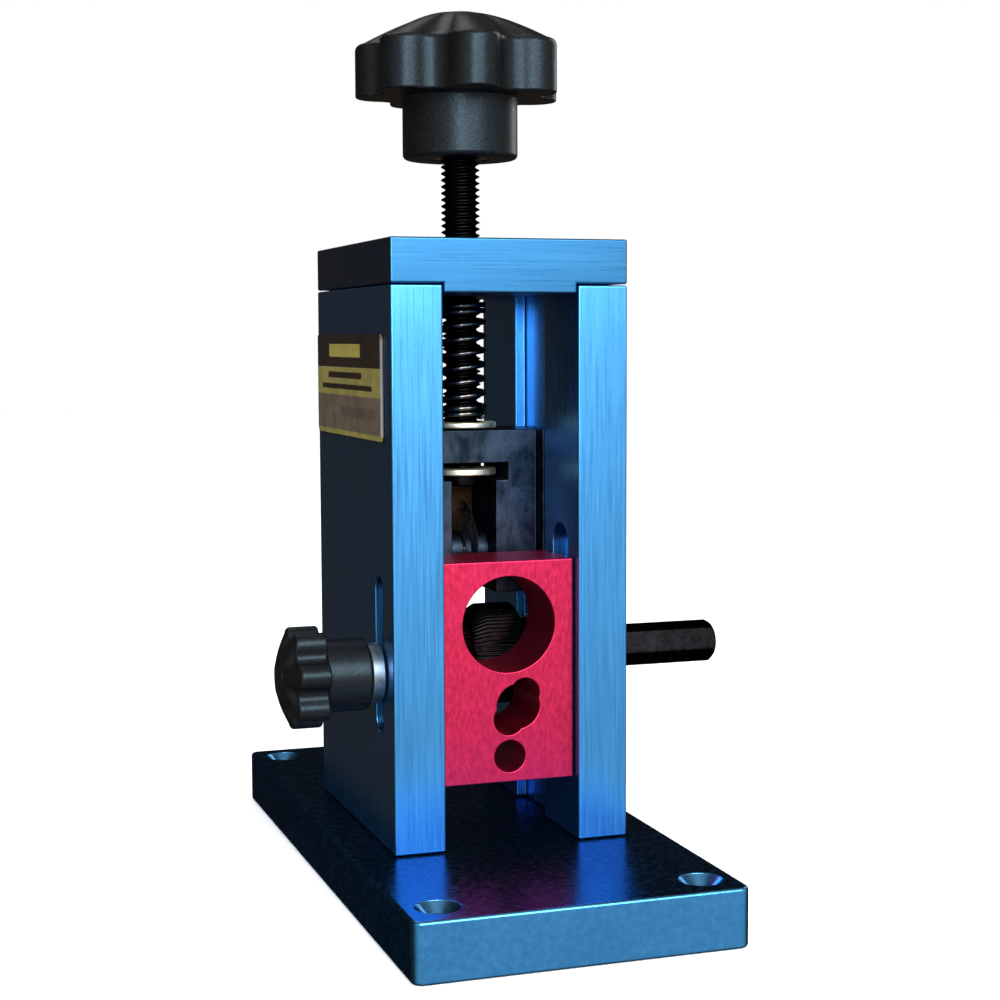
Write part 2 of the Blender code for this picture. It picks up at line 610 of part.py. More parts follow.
def make_drive(finishes):
    place = (0, DRIVE_Y, DRIVE_Z)
    journal = SHAFT_DIAMETER / 2
    left_end = -OUTER_X + BLIND_WALL + GAP
    hex_start = OUTER_X + GAP
    hex_end = hex_start + HEX_LENGTH
    hex_radius = hexagon(HEX_ACROSS_FLATS)
    rows = [
        (left_end, journal - HEX_CHAMFER),
        (left_end + HEX_CHAMFER, journal),
        (hex_start, journal),
        (hex_start, hex_radius),
        (hex_end - HEX_CHAMFER, hex_radius),
        (hex_end, shrunk(hex_radius, HEX_CHAMFER)),
    ]
    turn = Matrix.Rotation(math.radians(HEX_TURN), 4, "X") @ ALONG_X
    mesh = lofted_mesh("drive_shaft", rows, SMALL_POINTS)
    new_object("drive_shaft", mesh, finishes["black_oxide"], place, turn)

    bore = journal + GAP
    outside = ROLLER_DIAMETER / 2
    hub = ROLLER_HUB_DIAMETER / 2
    half = ROLLER_WIDTH / 2
    hub_end = BUSH_FACE_X - GAP
    half_groove = ROLLER_GROOVE_WIDTH / 2
    rows = [
        (-hub_end, bore),
        (-hub_end, hub),
        (-half, hub),
        (-half, outside - ROLLER_EDGE),
        (-half + ROLLER_EDGE, outside),
        (-half_groove, outside),
        (0, outside - ROLLER_GROOVE_DEPTH),
        (half_groove, outside),
        (half - ROLLER_EDGE, outside),
        (half, outside - ROLLER_EDGE),
        (half, hub),
        (hub_end, hub),
        (hub_end, bore),
    ]
    mesh = lofted_mesh("feed_roller", rows, ROUND_POINTS, ring=True)
    roller = new_object("feed_roller", mesh, finishes["dark_steel"], place, ALONG_X)

    screw_x = -(half + hub_end) / 2
    seat = (screw_x, DRIVE_Y, DRIVE_Z)
    hole = ROLLER_SCREW_DIAMETER / 2 + GAP
    rows = [(0, hole), (hub + CUT_PAST, hole)]
    cut_round(roller, "cut_roller_screw", seat, ALONG_Z, rows, SCREW_POINTS)
    rows = grub_rows(bore, hub, ROLLER_SCREW_DIAMETER)
    mesh = lofted_mesh("roller_set_screw", rows, SCREW_POINTS)
    new_object("roller_set_screw", mesh, finishes["black_oxide"], seat, ALONG_Z)


def grub_rows(low, high, diameter):
    """A set screw from its tip at low to its socket end just below high."""
    r = diameter / 2
    socket = hexagon(diameter / 2)
    end = high - GAP
    depth = GRUB_SOCKET_SHARE * (end - low)
    edge = GRUB_EDGE_SHARE * diameter
    return [(low, r - edge), (low + edge, r), (end, r), (end, socket), (end - depth, socket)]


# ---- blade carriage ----
def make_carriage(finishes):
    body = INNER_X - GAP
    tongue = GROOVE_FLOOR_X - GAP
    tongue_front = GROOVE_Y + GAP
    tongue_back = GROOVE_Y + GROOVE_WIDTH - GAP
    front = DRIVE_Y - CARRIAGE_DEPTH / 2
    back = DRIVE_Y + CARRIAGE_DEPTH / 2
    right = [
        (body, front),
        (body, tongue_front),
        (tongue, tongue_front),
        (tongue, tongue_back),
        (body, tongue_back),
        (body, back),
    ]
    outline = right + [(-x, y) for x, y in reversed(right)]
    mesh = prism_mesh("blade_carriage", outline, CARRIAGE_BOTTOM_Z, CARRIAGE_TOP_Z)
    carriage = new_object("blade_carriage", mesh, finishes["dark_steel"])
    bevel(carriage, CARRIAGE_EDGE)

    reach = CARRIAGE_DEPTH / 2 + CUT_PAST
    window_top = T_SLOT_FLOOR_Z + WINDOW_OVERLAP
    for name, width, low, high in (
        ("cut_window", WINDOW_WIDTH, CARRIAGE_BOTTOM_Z - CUT_PAST, window_top),
        ("cut_t_slot", T_SLOT_WIDTH, T_SLOT_FLOOR_Z, T_SLOT_TOP_Z),
    ):
        corner = (-width / 2, DRIVE_Y - reach, low)
        cut_box(carriage, name, corner, (width / 2, DRIVE_Y + reach, high))

    hole = SCREW_HOLE_DIAMETER / 2
    rows = [(T_SLOT_TOP_Z - CUT_PAST, hole), (CARRIAGE_TOP_Z + CUT_PAST, hole)]
    cut_round(carriage, "cut_screw_hole", (0, DRIVE_Y, 0), ALONG_Z, rows, ROUND_POINTS)
    bore = AXLE_HOLE_DIAMETER / 2
    rows = [(-tongue - CUT_PAST, bore), (tongue + CUT_PAST, bore)]
    cut_round(carriage, "cut_axle_bore", (0, DRIVE_Y, AXLE_Z), ALONG_X, rows)

    leg_middle = (WINDOW_WIDTH / 2 + body) / 2
    seat = (leg_middle, DRIVE_Y, AXLE_Z)
    hole = AXLE_SCREW_DIAMETER / 2 + GAP
    rows = [(0, hole), (CARRIAGE_DEPTH / 2 + CUT_PAST, hole)]
    cut_round(carriage, "cut_axle_screw", seat, ALONG_Y, rows, SCREW_POINTS)
    rows = grub_rows(bore, CARRIAGE_DEPTH / 2 - CARRIAGE_EDGE, AXLE_SCREW_DIAMETER)
    mesh = lofted_mesh("axle_set_screw", rows, SCREW_POINTS)
    new_object("axle_set_screw", mesh, finishes["black_oxide"], seat, ALONG_Y)


def make_blade_guard(finishes):
    """A thin plate behind the carriage's window, slit where the blade's rim comes through."""
    front = DRIVE_Y + CARRIAGE_DEPTH / 2 + GAP
    back = front + GUARD_THICKNESS
    low = (-GUARD_WIDTH / 2, front, CARRIAGE_BOTTOM_Z)
    high = (GUARD_WIDTH / 2, back, CARRIAGE_TOP_Z - GUARD_BELOW_TOP)
    guard = new_object("blade_guard", box_mesh("blade_guard", low, high), finishes["black_oxide"])
    slit = BLADE_THICKNESS / 2 + GUARD_BESIDE_BLADE
    slit_top = AXLE_Z + BLADE_DIAMETER / 2 + GUARD_OVER_BLADE
    corner = (-slit, front - CUT_PAST, CARRIAGE_BOTTOM_Z - CUT_PAST)
    cut_box(guard, "cut_blade_slit", corner, (slit, back + CUT_PAST, slit_top))


def make_blade(finishes):
    place = (0, DRIVE_Y, AXLE_Z)
    axle_end = GROOVE_FLOOR_X - 2 * GAP
    rows = rod_rows(-axle_end, axle_end, AXLE_DIAMETER, AXLE_EDGE)
    mesh = lofted_mesh("blade_axle", rows, SMALL_POINTS)
    new_object("blade_axle", mesh, finishes["bright_steel"], place, ALONG_X)

    bore = AXLE_HOLE_DIAMETER / 2
    outside = BLADE_DIAMETER / 2
    half = BLADE_THICKNESS / 2
    rows = [
        (-half, bore),
        (-half, outside - BLADE_BEVEL),
        (-BLADE_EDGE / 2, outside),
        (BLADE_EDGE / 2, outside),
        (half, outside - BLADE_BEVEL),
        (half, bore),
    ]
    mesh = lofted_mesh("circular_blade", rows, ROUND_POINTS, ring=True)
    new_object("circular_blade", mesh, finishes["bright_steel"], place, ALONG_X)

    for name, turn in (("left_blade_spacer", ALONG_MINUS_X), ("right_blade_spacer", ALONG_X)):
        rows = washer_rows(half + GAP, WINDOW_WIDTH / 2 - GAP, SPACER_DIAMETER, 2 * bore)
        mesh = lofted_mesh(name, rows, SMALL_POINTS, ring=True)
        new_object(name, mesh, finishes["dark_steel"], place, turn)


# ---- adjuster ----
def make_adjuster(finishes):
    screw = SCREW_DIAMETER / 2
    neck = SCREW_NECK_DIAMETER / 2
    shoulder = RETAINER_Z + RETAINER_THICKNESS + GAP
    end = RETAINER_Z - GAP - NUT_HEIGHT - GAP
    screw_top = KNOB_Z + KNOB_BORE_DEPTH - GAP
    rows = [
        (end, neck - SCREW_EDGE),
        (end + SCREW_EDGE, neck),
        (shoulder, neck),
        (shoulder, screw - SCREW_EDGE),
        (shoulder + SCREW_EDGE, screw),
        (screw_top - SCREW_EDGE, screw),
        (screw_top, screw - SCREW_EDGE),
    ]
    axis = (0, DRIVE_Y, 0)
    mesh = lofted_mesh("adjuster_screw", rows, ROUND_POINTS)
    new_object("adjuster_screw", mesh, finishes["black_oxide"], axis)

    neck_hole = NECK_HOLE_DIAMETER
    screw_hole = SCREW_HOLE_DIAMETER
    seat = CARRIAGE_TOP_Z + GAP
    nut_top = RETAINER_Z - GAP
    retainer_top = RETAINER_Z + RETAINER_THICKNESS
    insert = (KNOB_Z + GAP, KNOB_Z + KNOB_BORE_DEPTH - GAP)
    for name, finish, rows in (
        (
            "spring_seat_washer",
            "zinc",
            washer_rows(seat, seat + SEAT_WASHER_THICKNESS, SEAT_WASHER_DIAMETER, screw_hole),
        ),
        (
            "retaining_washer",
            "zinc",
            washer_rows(RETAINER_Z, retainer_top, RETAINER_DIAMETER, neck_hole),
        ),
        (
            "retaining_nut",
            "black_oxide",
            washer_rows(nut_top - NUT_HEIGHT, nut_top, NUT_DIAMETER, neck_hole),
        ),
        ("knob_insert", "brass", washer_rows(*insert, KNOB_INSERT_DIAMETER, screw_hole)),
    ):
        mesh = lofted_mesh(name, rows, ROUND_POINTS, ring=True)
        new_object(name, mesh, finishes[finish], axis)


def dome_rows(start, rise, outline, cap, edge, steps=DOME_STEPS):
    """Rows over a knob's head, from its rounded rim up a shallow dome to its flat cap."""
    rim = shrunk(outline, edge)
    rows = [(start - edge, outline)]
    for i in range(steps + 1):
        share = 1 - i / steps
        rows.append((start + rise * (1 - share**2), mixed(rim, share, cap)))
    return rows


def make_adjuster_knob(finishes):
    head = lobes(KNOB_LOBE_CENTRES, KNOB_LOBE_RADIUS, KNOB_VALLEY_RADIUS)
    hub = KNOB_HUB_DIAMETER / 2
    bore = KNOB_INSERT_DIAMETER / 2 + GAP
    head_low = KNOB_HUB_LENGTH
    head_high = KNOB_HUB_LENGTH + KNOB_HEAD_LENGTH
    rows = [
        (KNOB_BORE_DEPTH, bore),
        (0, bore),
        (0, hub - KNOB_EDGE),
        (KNOB_EDGE, hub),
        (head_low, hub),
        (head_low, shrunk(head, KNOB_EDGE)),
        (head_low + KNOB_EDGE, head),
    ] + dome_rows(head_high, KNOB_DOME, head, KNOB_CAP_RADIUS, KNOB_EDGE)
    mesh = lofted_mesh("adjuster_knob", rows, LOBE_COUNT * POINTS_A_LOBE)
    turn = Matrix.Rotation(math.radians(KNOB_TURN), 4, "Z")
    place = (0, DRIVE_Y, KNOB_Z)
    new_object("adjuster_knob", mesh, finishes["black_plastic"], place, turn)


def spring_path(turns_done, open_turns):
    """Height of the wire's middle after so many turns: closed, open, closed."""
    low = min(turns_done, SPRING_CLOSED_TURNS)
    middle = min(max(turns_done - SPRING_CLOSED_TURNS, 0), open_turns)
    high = max(turns_done - SPRING_CLOSED_TURNS - open_turns, 0)
    return (low + high) * SPRING_CLOSED_PITCH + middle * SPRING_OPEN_PITCH


def make_spring(finishes):
    low = CARRIAGE_TOP_Z + GAP + SEAT_WASHER_THICKNESS + GAP + SPRING_WIRE / 2
    high = TONGUE_Z - GAP - SPRING_WIRE / 2
    radius = (SPRING_DIAMETER - SPRING_WIRE) / 2
    closed = 2 * SPRING_CLOSED_TURNS
    open_turns = (high - low - closed * SPRING_CLOSED_PITCH) / SPRING_OPEN_PITCH
    turns = closed + open_turns
    steps = round(turns * SPRING_POINTS_A_TURN)
    mesh = bpy.data.meshes.new("compression_spring")
    shape = bmesh.new()
    loops = []
    for i in range(steps + 1):
        done = turns * i / steps
        angle = 2 * math.pi * done
        z = low + spring_path(done, open_turns)
        loop = []
        for k in range(SPRING_SIDES):
            around = 2 * math.pi * (k + 0.5) / SPRING_SIDES
            out = radius + SPRING_WIRE / 2 * math.cos(around)
            up = z + SPRING_WIRE / 2 * math.sin(around)
            loop.append(shape.verts.new((out * math.cos(angle), out * math.sin(angle), up)))
        loops.append(loop)
    for first, second in zip(loops, loops[1:]):
        for k in range(SPRING_SIDES):
            j = (k + 1) % SPRING_SIDES
            shape.faces.new((first[k], first[j], second[j], second[k]))
    shape.faces.new(loops[0])
    shape.faces.new(loops[-1])
    bmesh.ops.recalc_face_normals(shape, faces=shape.faces)
    shape.to_mesh(mesh)
    shape.free()
    new_object("compression_spring", mesh, finishes["black_oxide"], (0, DRIVE_Y, 0))


# ---- wire guide ----
def make_guide(finishes):
    front = GUIDE_Y - GUIDE_DEPTH / 2
    back = GUIDE_Y + GUIDE_DEPTH / 2
    low = (-GUIDE_HALF_WIDTH, front, GUIDE_BOTTOM_Z)
    high = (GUIDE_HALF_WIDTH, back, GUIDE_BOTTOM_Z + GUIDE_HEIGHT)
    block = new_object("guide_block", box_mesh("guide_block", low, high), finishes["red"])
    bevel(block, GUIDE_EDGE)
    for across, up, diameter in GUIDE_HOLES.values():
        place = (across, GUIDE_Y, GUIDE_BOTTOM_Z + up)
        reach = GUIDE_DEPTH / 2 + CUT_PAST
        rows = [(-reach, diameter / 2), (reach, diameter / 2)]
        cut_round(block, "cut_wire_hole", place, ALONG_Y, rows, ROUND_POINTS)

    tapped = STUD_HOLE_DIAMETER / 2
    rows = [(GUIDE_HALF_WIDTH - STUD_IN_BLOCK - GAP, tapped), (INNER_X + CUT_PAST, tapped)]
    cut_round(block, "cut_stud_hole", (0, GUIDE_Y, LOCK_Z), ALONG_MINUS_X, rows, SCREW_POINTS)

    half = KEY_HEIGHT / 2
    pocket_x = GUIDE_HALF_WIDTH - KEY_IN_BLOCK
    outline = slot_outline(KEY_WIDTH + 2 * GAP, -half - GAP, half + GAP)
    upright = [(-y, x) for x, y in outline]
    pocket = prism_mesh("cut_key_pocket", upright, pocket_x - GAP, INNER_X + CUT_PAST)
    place = (0, GUIDE_Y, LOCK_Z)
    cut(block, new_object("cut_key_pocket", pocket, place=place, turn=ALONG_X))
    upright = [(-y, x) for x, y in slot_outline(KEY_WIDTH, -half, half)]
    key_end = INNER_X + KEY_SLOT_DEPTH - GAP
    key = prism_mesh("guide_key", upright, pocket_x, key_end)
    new_object("guide_key", key, finishes["bright_steel"], place, ALONG_X)


def make_lock(finishes):
    axis = (0, GUIDE_Y, LOCK_Z)
    face = -LOCK_WASHER_X
    back = face + LOCK_WASHER_THICKNESS
    rows = washer_rows(face, back, LOCK_WASHER_DIAMETER, STUD_HOLE_DIAMETER)
    mesh = lofted_mesh("lock_washer", rows, SMALL_POINTS, ring=True)
    new_object("lock_washer", mesh, finishes["grey_steel"], axis, ALONG_MINUS_X)

    stud_start = GUIDE_HALF_WIDTH - STUD_IN_BLOCK
    stud_end = -LOCK_HUB_X + STUD_IN_KNOB
    rows = rod_rows(stud_start, stud_end, STUD_DIAMETER, STUD_EDGE)
    mesh = lofted_mesh("lock_stud", rows, SMALL_POINTS)
    new_object("lock_stud", mesh, finishes["black_oxide"], axis, ALONG_MINUS_X)

    head = lobes(LOCK_LOBE_CENTRES, LOCK_LOBE_RADIUS, LOCK_VALLEY_RADIUS)
    hub = LOCK_HUB_DIAMETER / 2
    bore = STUD_HOLE_DIAMETER / 2
    head_high = LOCK_HUB_LENGTH + LOCK_HEAD_LENGTH
    under = LOCK_EDGE / 4  # small, so that the valleys stay outside the hub
    rows = [
        (STUD_IN_KNOB + GAP, bore),
        (0, bore),
        (0, hub - LOCK_EDGE),
        (LOCK_EDGE, hub),
        (LOCK_HUB_LENGTH, hub),
        (LOCK_HUB_LENGTH, shrunk(head, under)),
        (LOCK_HUB_LENGTH + under, head),
    ] + dome_rows(head_high, LOCK_DOME, head, LOCK_CAP_RADIUS, LOCK_EDGE)
    mesh = lofted_mesh("lock_knob", rows, LOBE_COUNT * POINTS_A_LOBE)
    # local X points up once the axis is turned, so a quarter turn back brings a lobe forward
    turn = ALONG_MINUS_X @ Matrix.Rotation(math.radians(LOCK_TURN - 90), 4, "Z")
    place = (LOCK_HUB_X, GUIDE_Y, LOCK_Z)
    new_object("lock_knob", mesh, finishes["black_plastic"], place, turn)


def main():
    for old in list(bpy.data.objects):
        bpy.data.objects.remove(old, do_unlink=True)
    finishes = make_finishes()
    make_base(finishes)
    for side in (-1, 1):
        make_side_plate(side, finishes)
        make_bush(side, finishes)
    make_top_plate(finishes)
    make_frame_screws(finishes)
    make_label(finishes)
    make_drive(finishes)
    make_carriage(finishes)
    make_blade_guard(finishes)
    make_blade(finishes)
    make_adjuster(finishes)
    make_adjuster_knob(finishes)
    make_spring(finishes)
    make_guide(finishes)
    make_lock(finishes)


main()
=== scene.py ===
import math

import bmesh
import bpy
from mathutils import Matrix, Vector


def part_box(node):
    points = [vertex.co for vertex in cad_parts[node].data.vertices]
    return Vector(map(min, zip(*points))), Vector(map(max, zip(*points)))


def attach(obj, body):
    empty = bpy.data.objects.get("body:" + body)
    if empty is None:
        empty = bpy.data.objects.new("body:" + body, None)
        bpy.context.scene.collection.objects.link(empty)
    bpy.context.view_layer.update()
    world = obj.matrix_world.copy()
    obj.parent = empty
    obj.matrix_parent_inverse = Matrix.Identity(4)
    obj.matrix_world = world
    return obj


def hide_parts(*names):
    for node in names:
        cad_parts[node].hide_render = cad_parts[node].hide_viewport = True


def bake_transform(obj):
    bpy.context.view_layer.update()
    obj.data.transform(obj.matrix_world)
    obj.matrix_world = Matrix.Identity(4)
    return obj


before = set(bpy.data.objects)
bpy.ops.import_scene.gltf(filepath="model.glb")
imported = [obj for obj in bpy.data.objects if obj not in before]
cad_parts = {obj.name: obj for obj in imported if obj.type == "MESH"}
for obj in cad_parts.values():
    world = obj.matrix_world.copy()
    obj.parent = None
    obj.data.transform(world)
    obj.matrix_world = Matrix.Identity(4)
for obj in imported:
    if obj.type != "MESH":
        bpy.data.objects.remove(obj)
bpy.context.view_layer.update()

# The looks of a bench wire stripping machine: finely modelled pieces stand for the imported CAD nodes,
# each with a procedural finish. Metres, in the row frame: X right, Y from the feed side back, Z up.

MM = 0.001

# ---- camera, at the photograph's viewing angle ----
CAMERA_PLACE = Vector((-0.14038, -0.44388, 0.13150))
CAMERA_AZIMUTH = math.radians(-18.671)
CAMERA_ELEVATION = math.radians(4.874)
CAMERA_ROLL = math.radians(-0.235)
CAMERA_LENS = 67.62
CAMERA_SENSOR = 36.0

# ---- studio ----
# azimuth and elevation in degrees, distance, width and height in metres, power in watts
LIGHTS = dict(
    key_light=(-1, 25, 1.3, 1.15, 0.7, 23.0),
    flash_light=(-17, 9, 0.7, 0.08, 0.08, 1.0),
    top_light=(0, 88, 1.2, 1.0, 1.0, 0.8),
    right_light=(118, 20, 1.4, 0.4, 1.0, 4.0),
    back_light=(190, 58, 1.4, 0.8, 0.5, 2.0),
)
LIGHT_AIM = Vector((0, 0, 0.09))
STUDIO_FRONT = 0.85
STUDIO_DIM = 0.045
STUDIO_WARM = (1.0, 0.80, 0.62)  # behind
STUDIO_COOL = (0.96, 0.98, 1.0)  # in front
PAPER_GLOW = 1.05
BACKDROP = 1.0
FLOOR_RADIUS = 3.0

# ---- sizes of the CAD that its boxes don't give ----
GAP = 0.3 * MM
CUT_PAST = 2.0 * MM
FRAME_EDGE = 0.5 * MM
BASE_CORNER_RADIUS = 2.5 * MM
BASE_EDGE = 0.8 * MM
MOUNT_HOLE_DIAMETER = 5.3 * MM
MOUNT_SINK = 2.25 * MM
MOUNT_INSET_X = 8.0 * MM
MOUNT_INSET_Y = 9.2 * MM
TOP_TONGUE_JOINT = 2.2 * MM  # from the tongue's face up to the joint with the side plates
GROOVE_WIDTH = 21.4 * MM
BLIND_WALL = 2.2 * MM
BUSH_WALL = 2.0 * MM
BUSH_FLANGE_THICKNESS = 1.4 * MM
WINDOW_WIDTH = 11.2 * MM
T_SLOT_WIDTH = 17.6 * MM
T_SLOT_HEIGHT = 4.2 * MM
T_SLOT_ROOF = 8.1 * MM
GUARD_BESIDE_BLADE = 0.6 * MM
GUARD_OVER_BLADE = 0.8 * MM
SCREW_DIAMETER = 9.525 * MM
SCREW_NECK_DIAMETER = 6.0 * MM
SCREW_PITCH = 25.4 / 16 * MM
STUD_DIAMETER = 6.35 * MM
STUD_PITCH = 25.4 / 20 * MM
THREAD_DEPTH = 0.6134  # this and the two flats are shares of the pitch
THREAD_CREST = 1 / 8
THREAD_ROOT = 1 / 4
JOURNAL_DIAMETER = 9.0 * MM
ROLLER_HUB_DIAMETER = 17.0 * MM
ROLLER_FACE_WIDTH = 25.4 * MM
ROLLER_GROOVE_WIDTH = 7.0 * MM
ROLLER_GROOVE_DEPTH = 2.2 * MM
ROLLER_EDGE = 0.6 * MM
ROLLER_TOOTH = 0.45 * MM
ROLLER_TEETH = 72
BLADE_BEVEL = 2.4 * MM
SPRING_WIRE = 1.3 * MM
SPRING_CLOSED_TURNS = 2.0
SPRING_CLOSED_PITCH = 1.45 * MM
SPRING_OPEN_PITCH = 3.5 * MM
KEY_SLOT_ABOVE = 19.6 * MM
KEY_SLOT_BELOW = 11.2 * MM
LOCK_SLOT_WIDTH = 7.0 * MM
LOCK_SLOT_ABOVE = 22.7 * MM
LOCK_SLOT_BELOW = 14.2 * MM
SLOT_EDGE = 0.25 * MM
STUD_IN_BLOCK = 6.4 * MM
SCREW_RECESS = 0.4 * MM
SCREW_HEAD_RIM = 0.4 * MM
TAPPED_PAST_SCREW = 1.5 * MM
BASE_SCREW = dict(shank=6.0 * MM, head=11.0 * MM, length=26.0 * MM, socket=4.0 * MM, pitch=1.0 * MM)
TOP_SCREW = dict(shank=5.0 * MM, head=9.2 * MM, length=24.0 * MM, socket=3.0 * MM, pitch=0.8 * MM)
ROLLER_SET_SCREW = dict(diameter=3.0 * MM, pitch=0.5 * MM)
AXLE_SET_SCREW = dict(diameter=4.0 * MM, pitch=0.7 * MM)
LABEL_CORNER_RADIUS = 1.6 * MM
LABEL_BORDER = 0.15 * MM
LABEL_INK = 0.02 * MM  # the depth of one layer
# each wire hole: across from the middle, up from the block's underside, diameter
GUIDE_HOLES = (
    (0.1 * MM, 37.2 * MM, 22.6 * MM),
    (4.0 * MM, 20.8 * MM, 7.2 * MM),
    (2.3 * MM, 17.8 * MM, 10.6 * MM),
    (0.1 * MM, 14.9 * MM, 7.6 * MM),
    (0.2 * MM, 6.1 * MM, 7.6 * MM),
)
LOBE_COUNT = 7
BIG_KNOB = dict(
    hub=28.2 * MM,
    hub_length=14.9 * MM,
    head_length=13.0 * MM,
    dome=7.0 * MM,
    cap=5.7 * MM,
    lobes=(19.4 * MM, 6.2 * MM, 5.0 * MM),
    edge=1.2 * MM,
    bore_depth=16.0 * MM,
)
SMALL_KNOB = dict(
    hub=16.8 * MM,
    hub_length=10.4 * MM,
    head_length=7.4 * MM,
    dome=2.6 * MM,
    cap=4.6 * MM,
    lobes=(9.3 * MM, 2.7 * MM, 2.0 * MM),
    edge=0.7 * MM,
    bore_depth=11.3 * MM,
)
BIG_KNOB_TURN = math.radians(263)
SMALL_KNOB_TURN = math.radians(10 - 90)
HEX_ACROSS_FLATS = 9.5 * MM
HEX_CORNER_RADIUS = 0.35 * MM
HEX_TURN = math.radians(-15)

# ---- places, from the CAD's boxes ----
LEFT_LOW, LEFT_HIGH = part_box("left_side_plate")
RIGHT_LOW, RIGHT_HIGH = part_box("right_side_plate")
TOP_LOW, TOP_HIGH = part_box("top_plate")
BASE_LOW, BASE_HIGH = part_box("base_plate")
CARRIAGE_LOW, CARRIAGE_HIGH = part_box("blade_carriage")
GUIDE_LOW, GUIDE_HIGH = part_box("guide_block")


def middle(node):
    low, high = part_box(node)
    return (low + high) / 2


FRONT_Y = LEFT_LOW.y
BACK_Y = LEFT_HIGH.y
INNER_X = RIGHT_LOW.x
OUTER_X = RIGHT_HIGH.x
GROOVE_FLOOR_X = CARRIAGE_HIGH.x + GAP
GROOVE_Y = CARRIAGE_LOW.y - GAP
BODY_X = INNER_X - GAP
DRIVE_Y = middle("circular_blade").y
DRIVE_Z = middle("feed_roller").z
AXLE_Z = middle("circular_blade").z
GUIDE_Y = middle("guide_block").y
LOCK_Z = middle("lock_washer").z
T_SLOT_TOP_Z = CARRIAGE_HIGH.z - T_SLOT_ROOF
T_SLOT_FLOOR_Z = T_SLOT_TOP_Z - T_SLOT_HEIGHT
CARRIAGE_DEPTH = 2 * (CARRIAGE_HIGH.y - DRIVE_Y)

# local +Z turned to point along these directions
ALONG_X = Matrix.Rotation(math.radians(90), 4, "Y")
ALONG_MINUS_X = Matrix.Rotation(math.radians(-90), 4, "Y")
ALONG_Y = Matrix.Rotation(math.radians(-90), 4, "X")
ALONG_Z = Matrix.Identity(4)
DOWN = Matrix.Rotation(math.radians(180), 4, "X")

# directions of a turned piece's edges
UPWARD, DOWNWARD = 1, -1
INWARD, OUTWARD = -1, 1


# ---- mesh helpers ----
def to_mesh(name, shape):
    bmesh.ops.recalc_face_normals(shape, faces=shape.faces)
    mesh = bpy.data.meshes.new(name)
    shape.to_mesh(mesh)
    shape.free()
    return mesh


def loft(name, loops, ring=False):
    """Closed loops of points, joined one after the other. A ring joins its last loop to its first."""
    shape = bmesh.new()
    made = [[shape.verts.new(point) for point in loop] for loop in loops]
    following = made[1:] + made[:1] if ring else made[1:]
    for first, second in zip(made, following):
        for i in range(len(first)):
            j = (i + 1) % len(first)
            shape.faces.new((first[i], first[j], second[j], second[i]))
    if not ring:
        shape.faces.new(made[0])
        shape.faces.new(made[-1])
    return to_mesh(name, shape)


def lathe(name, rows, points=96, ring=False):
    """Turned about local Z. Each row is (z, radius), where the radius may be a function of the angle."""
    angles = [math.tau * i / points for i in range(points)]
    loops = []
    for z, radius in rows:
        sizes = [radius(a) if callable(radius) else radius for a in angles]
        loops.append([(r * math.cos(a), r * math.sin(a), z) for r, a in zip(sizes, angles)])
    return loft(name, loops, ring)


def rounding(edge, steps=4):
    """(depth into the piece, width still cut away) down a round edge, from the face to the wall."""
    angles = [math.pi / 2 * i / steps for i in range(steps + 1)]
    return [(edge * (1 - math.cos(a)), edge * (1 - math.sin(a))) for a in angles]


def edge_rows(face, wall, edge, into, cut, steps=4):
    """Rows of a round edge, from a face at z = face to a wall at radius = wall.

    into is UPWARD or DOWNWARD, from the face into the piece. cut is INWARD where an outer wall's
    edge is taken off, and OUTWARD where a bore's is."""
    return [(face + into * depth, wall + cut * off) for depth, off in rounding(edge, steps)]


def round_bar(low, high, radius, edge):
    """Rows of a turned bar from low to high with rounded ends."""
    end = edge_rows(high, radius, edge, DOWNWARD, INWARD)
    return edge_rows(low, radius, edge, UPWARD, INWARD) + end[::-1]


def round_washer(low, high, outside, inside, edge):
    """Rows of a turned ring whose four corners are rounded."""
    outer = round_bar(low, high, outside, edge)
    inner = edge_rows(high, inside, edge, DOWNWARD, OUTWARD)
    inner += edge_rows(low, inside, edge, UPWARD, OUTWARD)[::-1]
    return outer + inner


def hole_rows(low, high, radius, edge, past=CUT_PAST):
    """Rows of a cutter from low to high that leaves a rounded rim at both ends."""
    rim = rounding(edge)
    rows = [(low - past, edge)] + [(low + into, off) for into, off in rim]
    rows += [(high - into, off) for into, off in reversed(rim)] + [(high + past, edge)]
    return [(z, radius + off) for z, off in rows]


def slot_loop(width, low, high, z, steps=20):
    """A slot with round ends: width across x, from y = low to y = high, at one z."""
    r = width / 2
    half_turn = [math.pi * i / steps for i in range(steps + 1)]
    top = [(r * math.cos(a), high - r + r * math.sin(a), z) for a in half_turn]
    bottom = [(-r * math.cos(a), low + r - r * math.sin(a), z) for a in half_turn]
    return top + bottom


def rounded_loop(half_x, half_y, radius, z, steps=8):
    """A rectangle with round corners about the origin, at one z."""
    loop = []
    for corner in range(4):
        sign_x = 1 if corner in (0, 3) else -1
        sign_y = 1 if corner in (0, 1) else -1
        for i in range(steps + 1):
            a = math.pi / 2 * (corner + i / steps)
            x = sign_x * (half_x - radius) + radius * math.cos(a)
            y = sign_y * (half_y - radius) + radius * math.sin(a)
            loop.append((x, y, z))
    return loop


def box_mesh(name, low, high):
    shape = bmesh.new()
    bmesh.ops.create_cube(shape, size=1.0)
    for vertex in shape.verts:
        for axis in range(3):
            vertex.co[axis] = low[axis] if vertex.co[axis] < 0 else high[axis]
    return to_mesh(name, shape)


def prism(name, outline, low, high):
    """An outline of (x, y) points from z = low to z = high."""
    return loft(name, [[(x, y, z) for x, y in outline] for z in (low, high)])


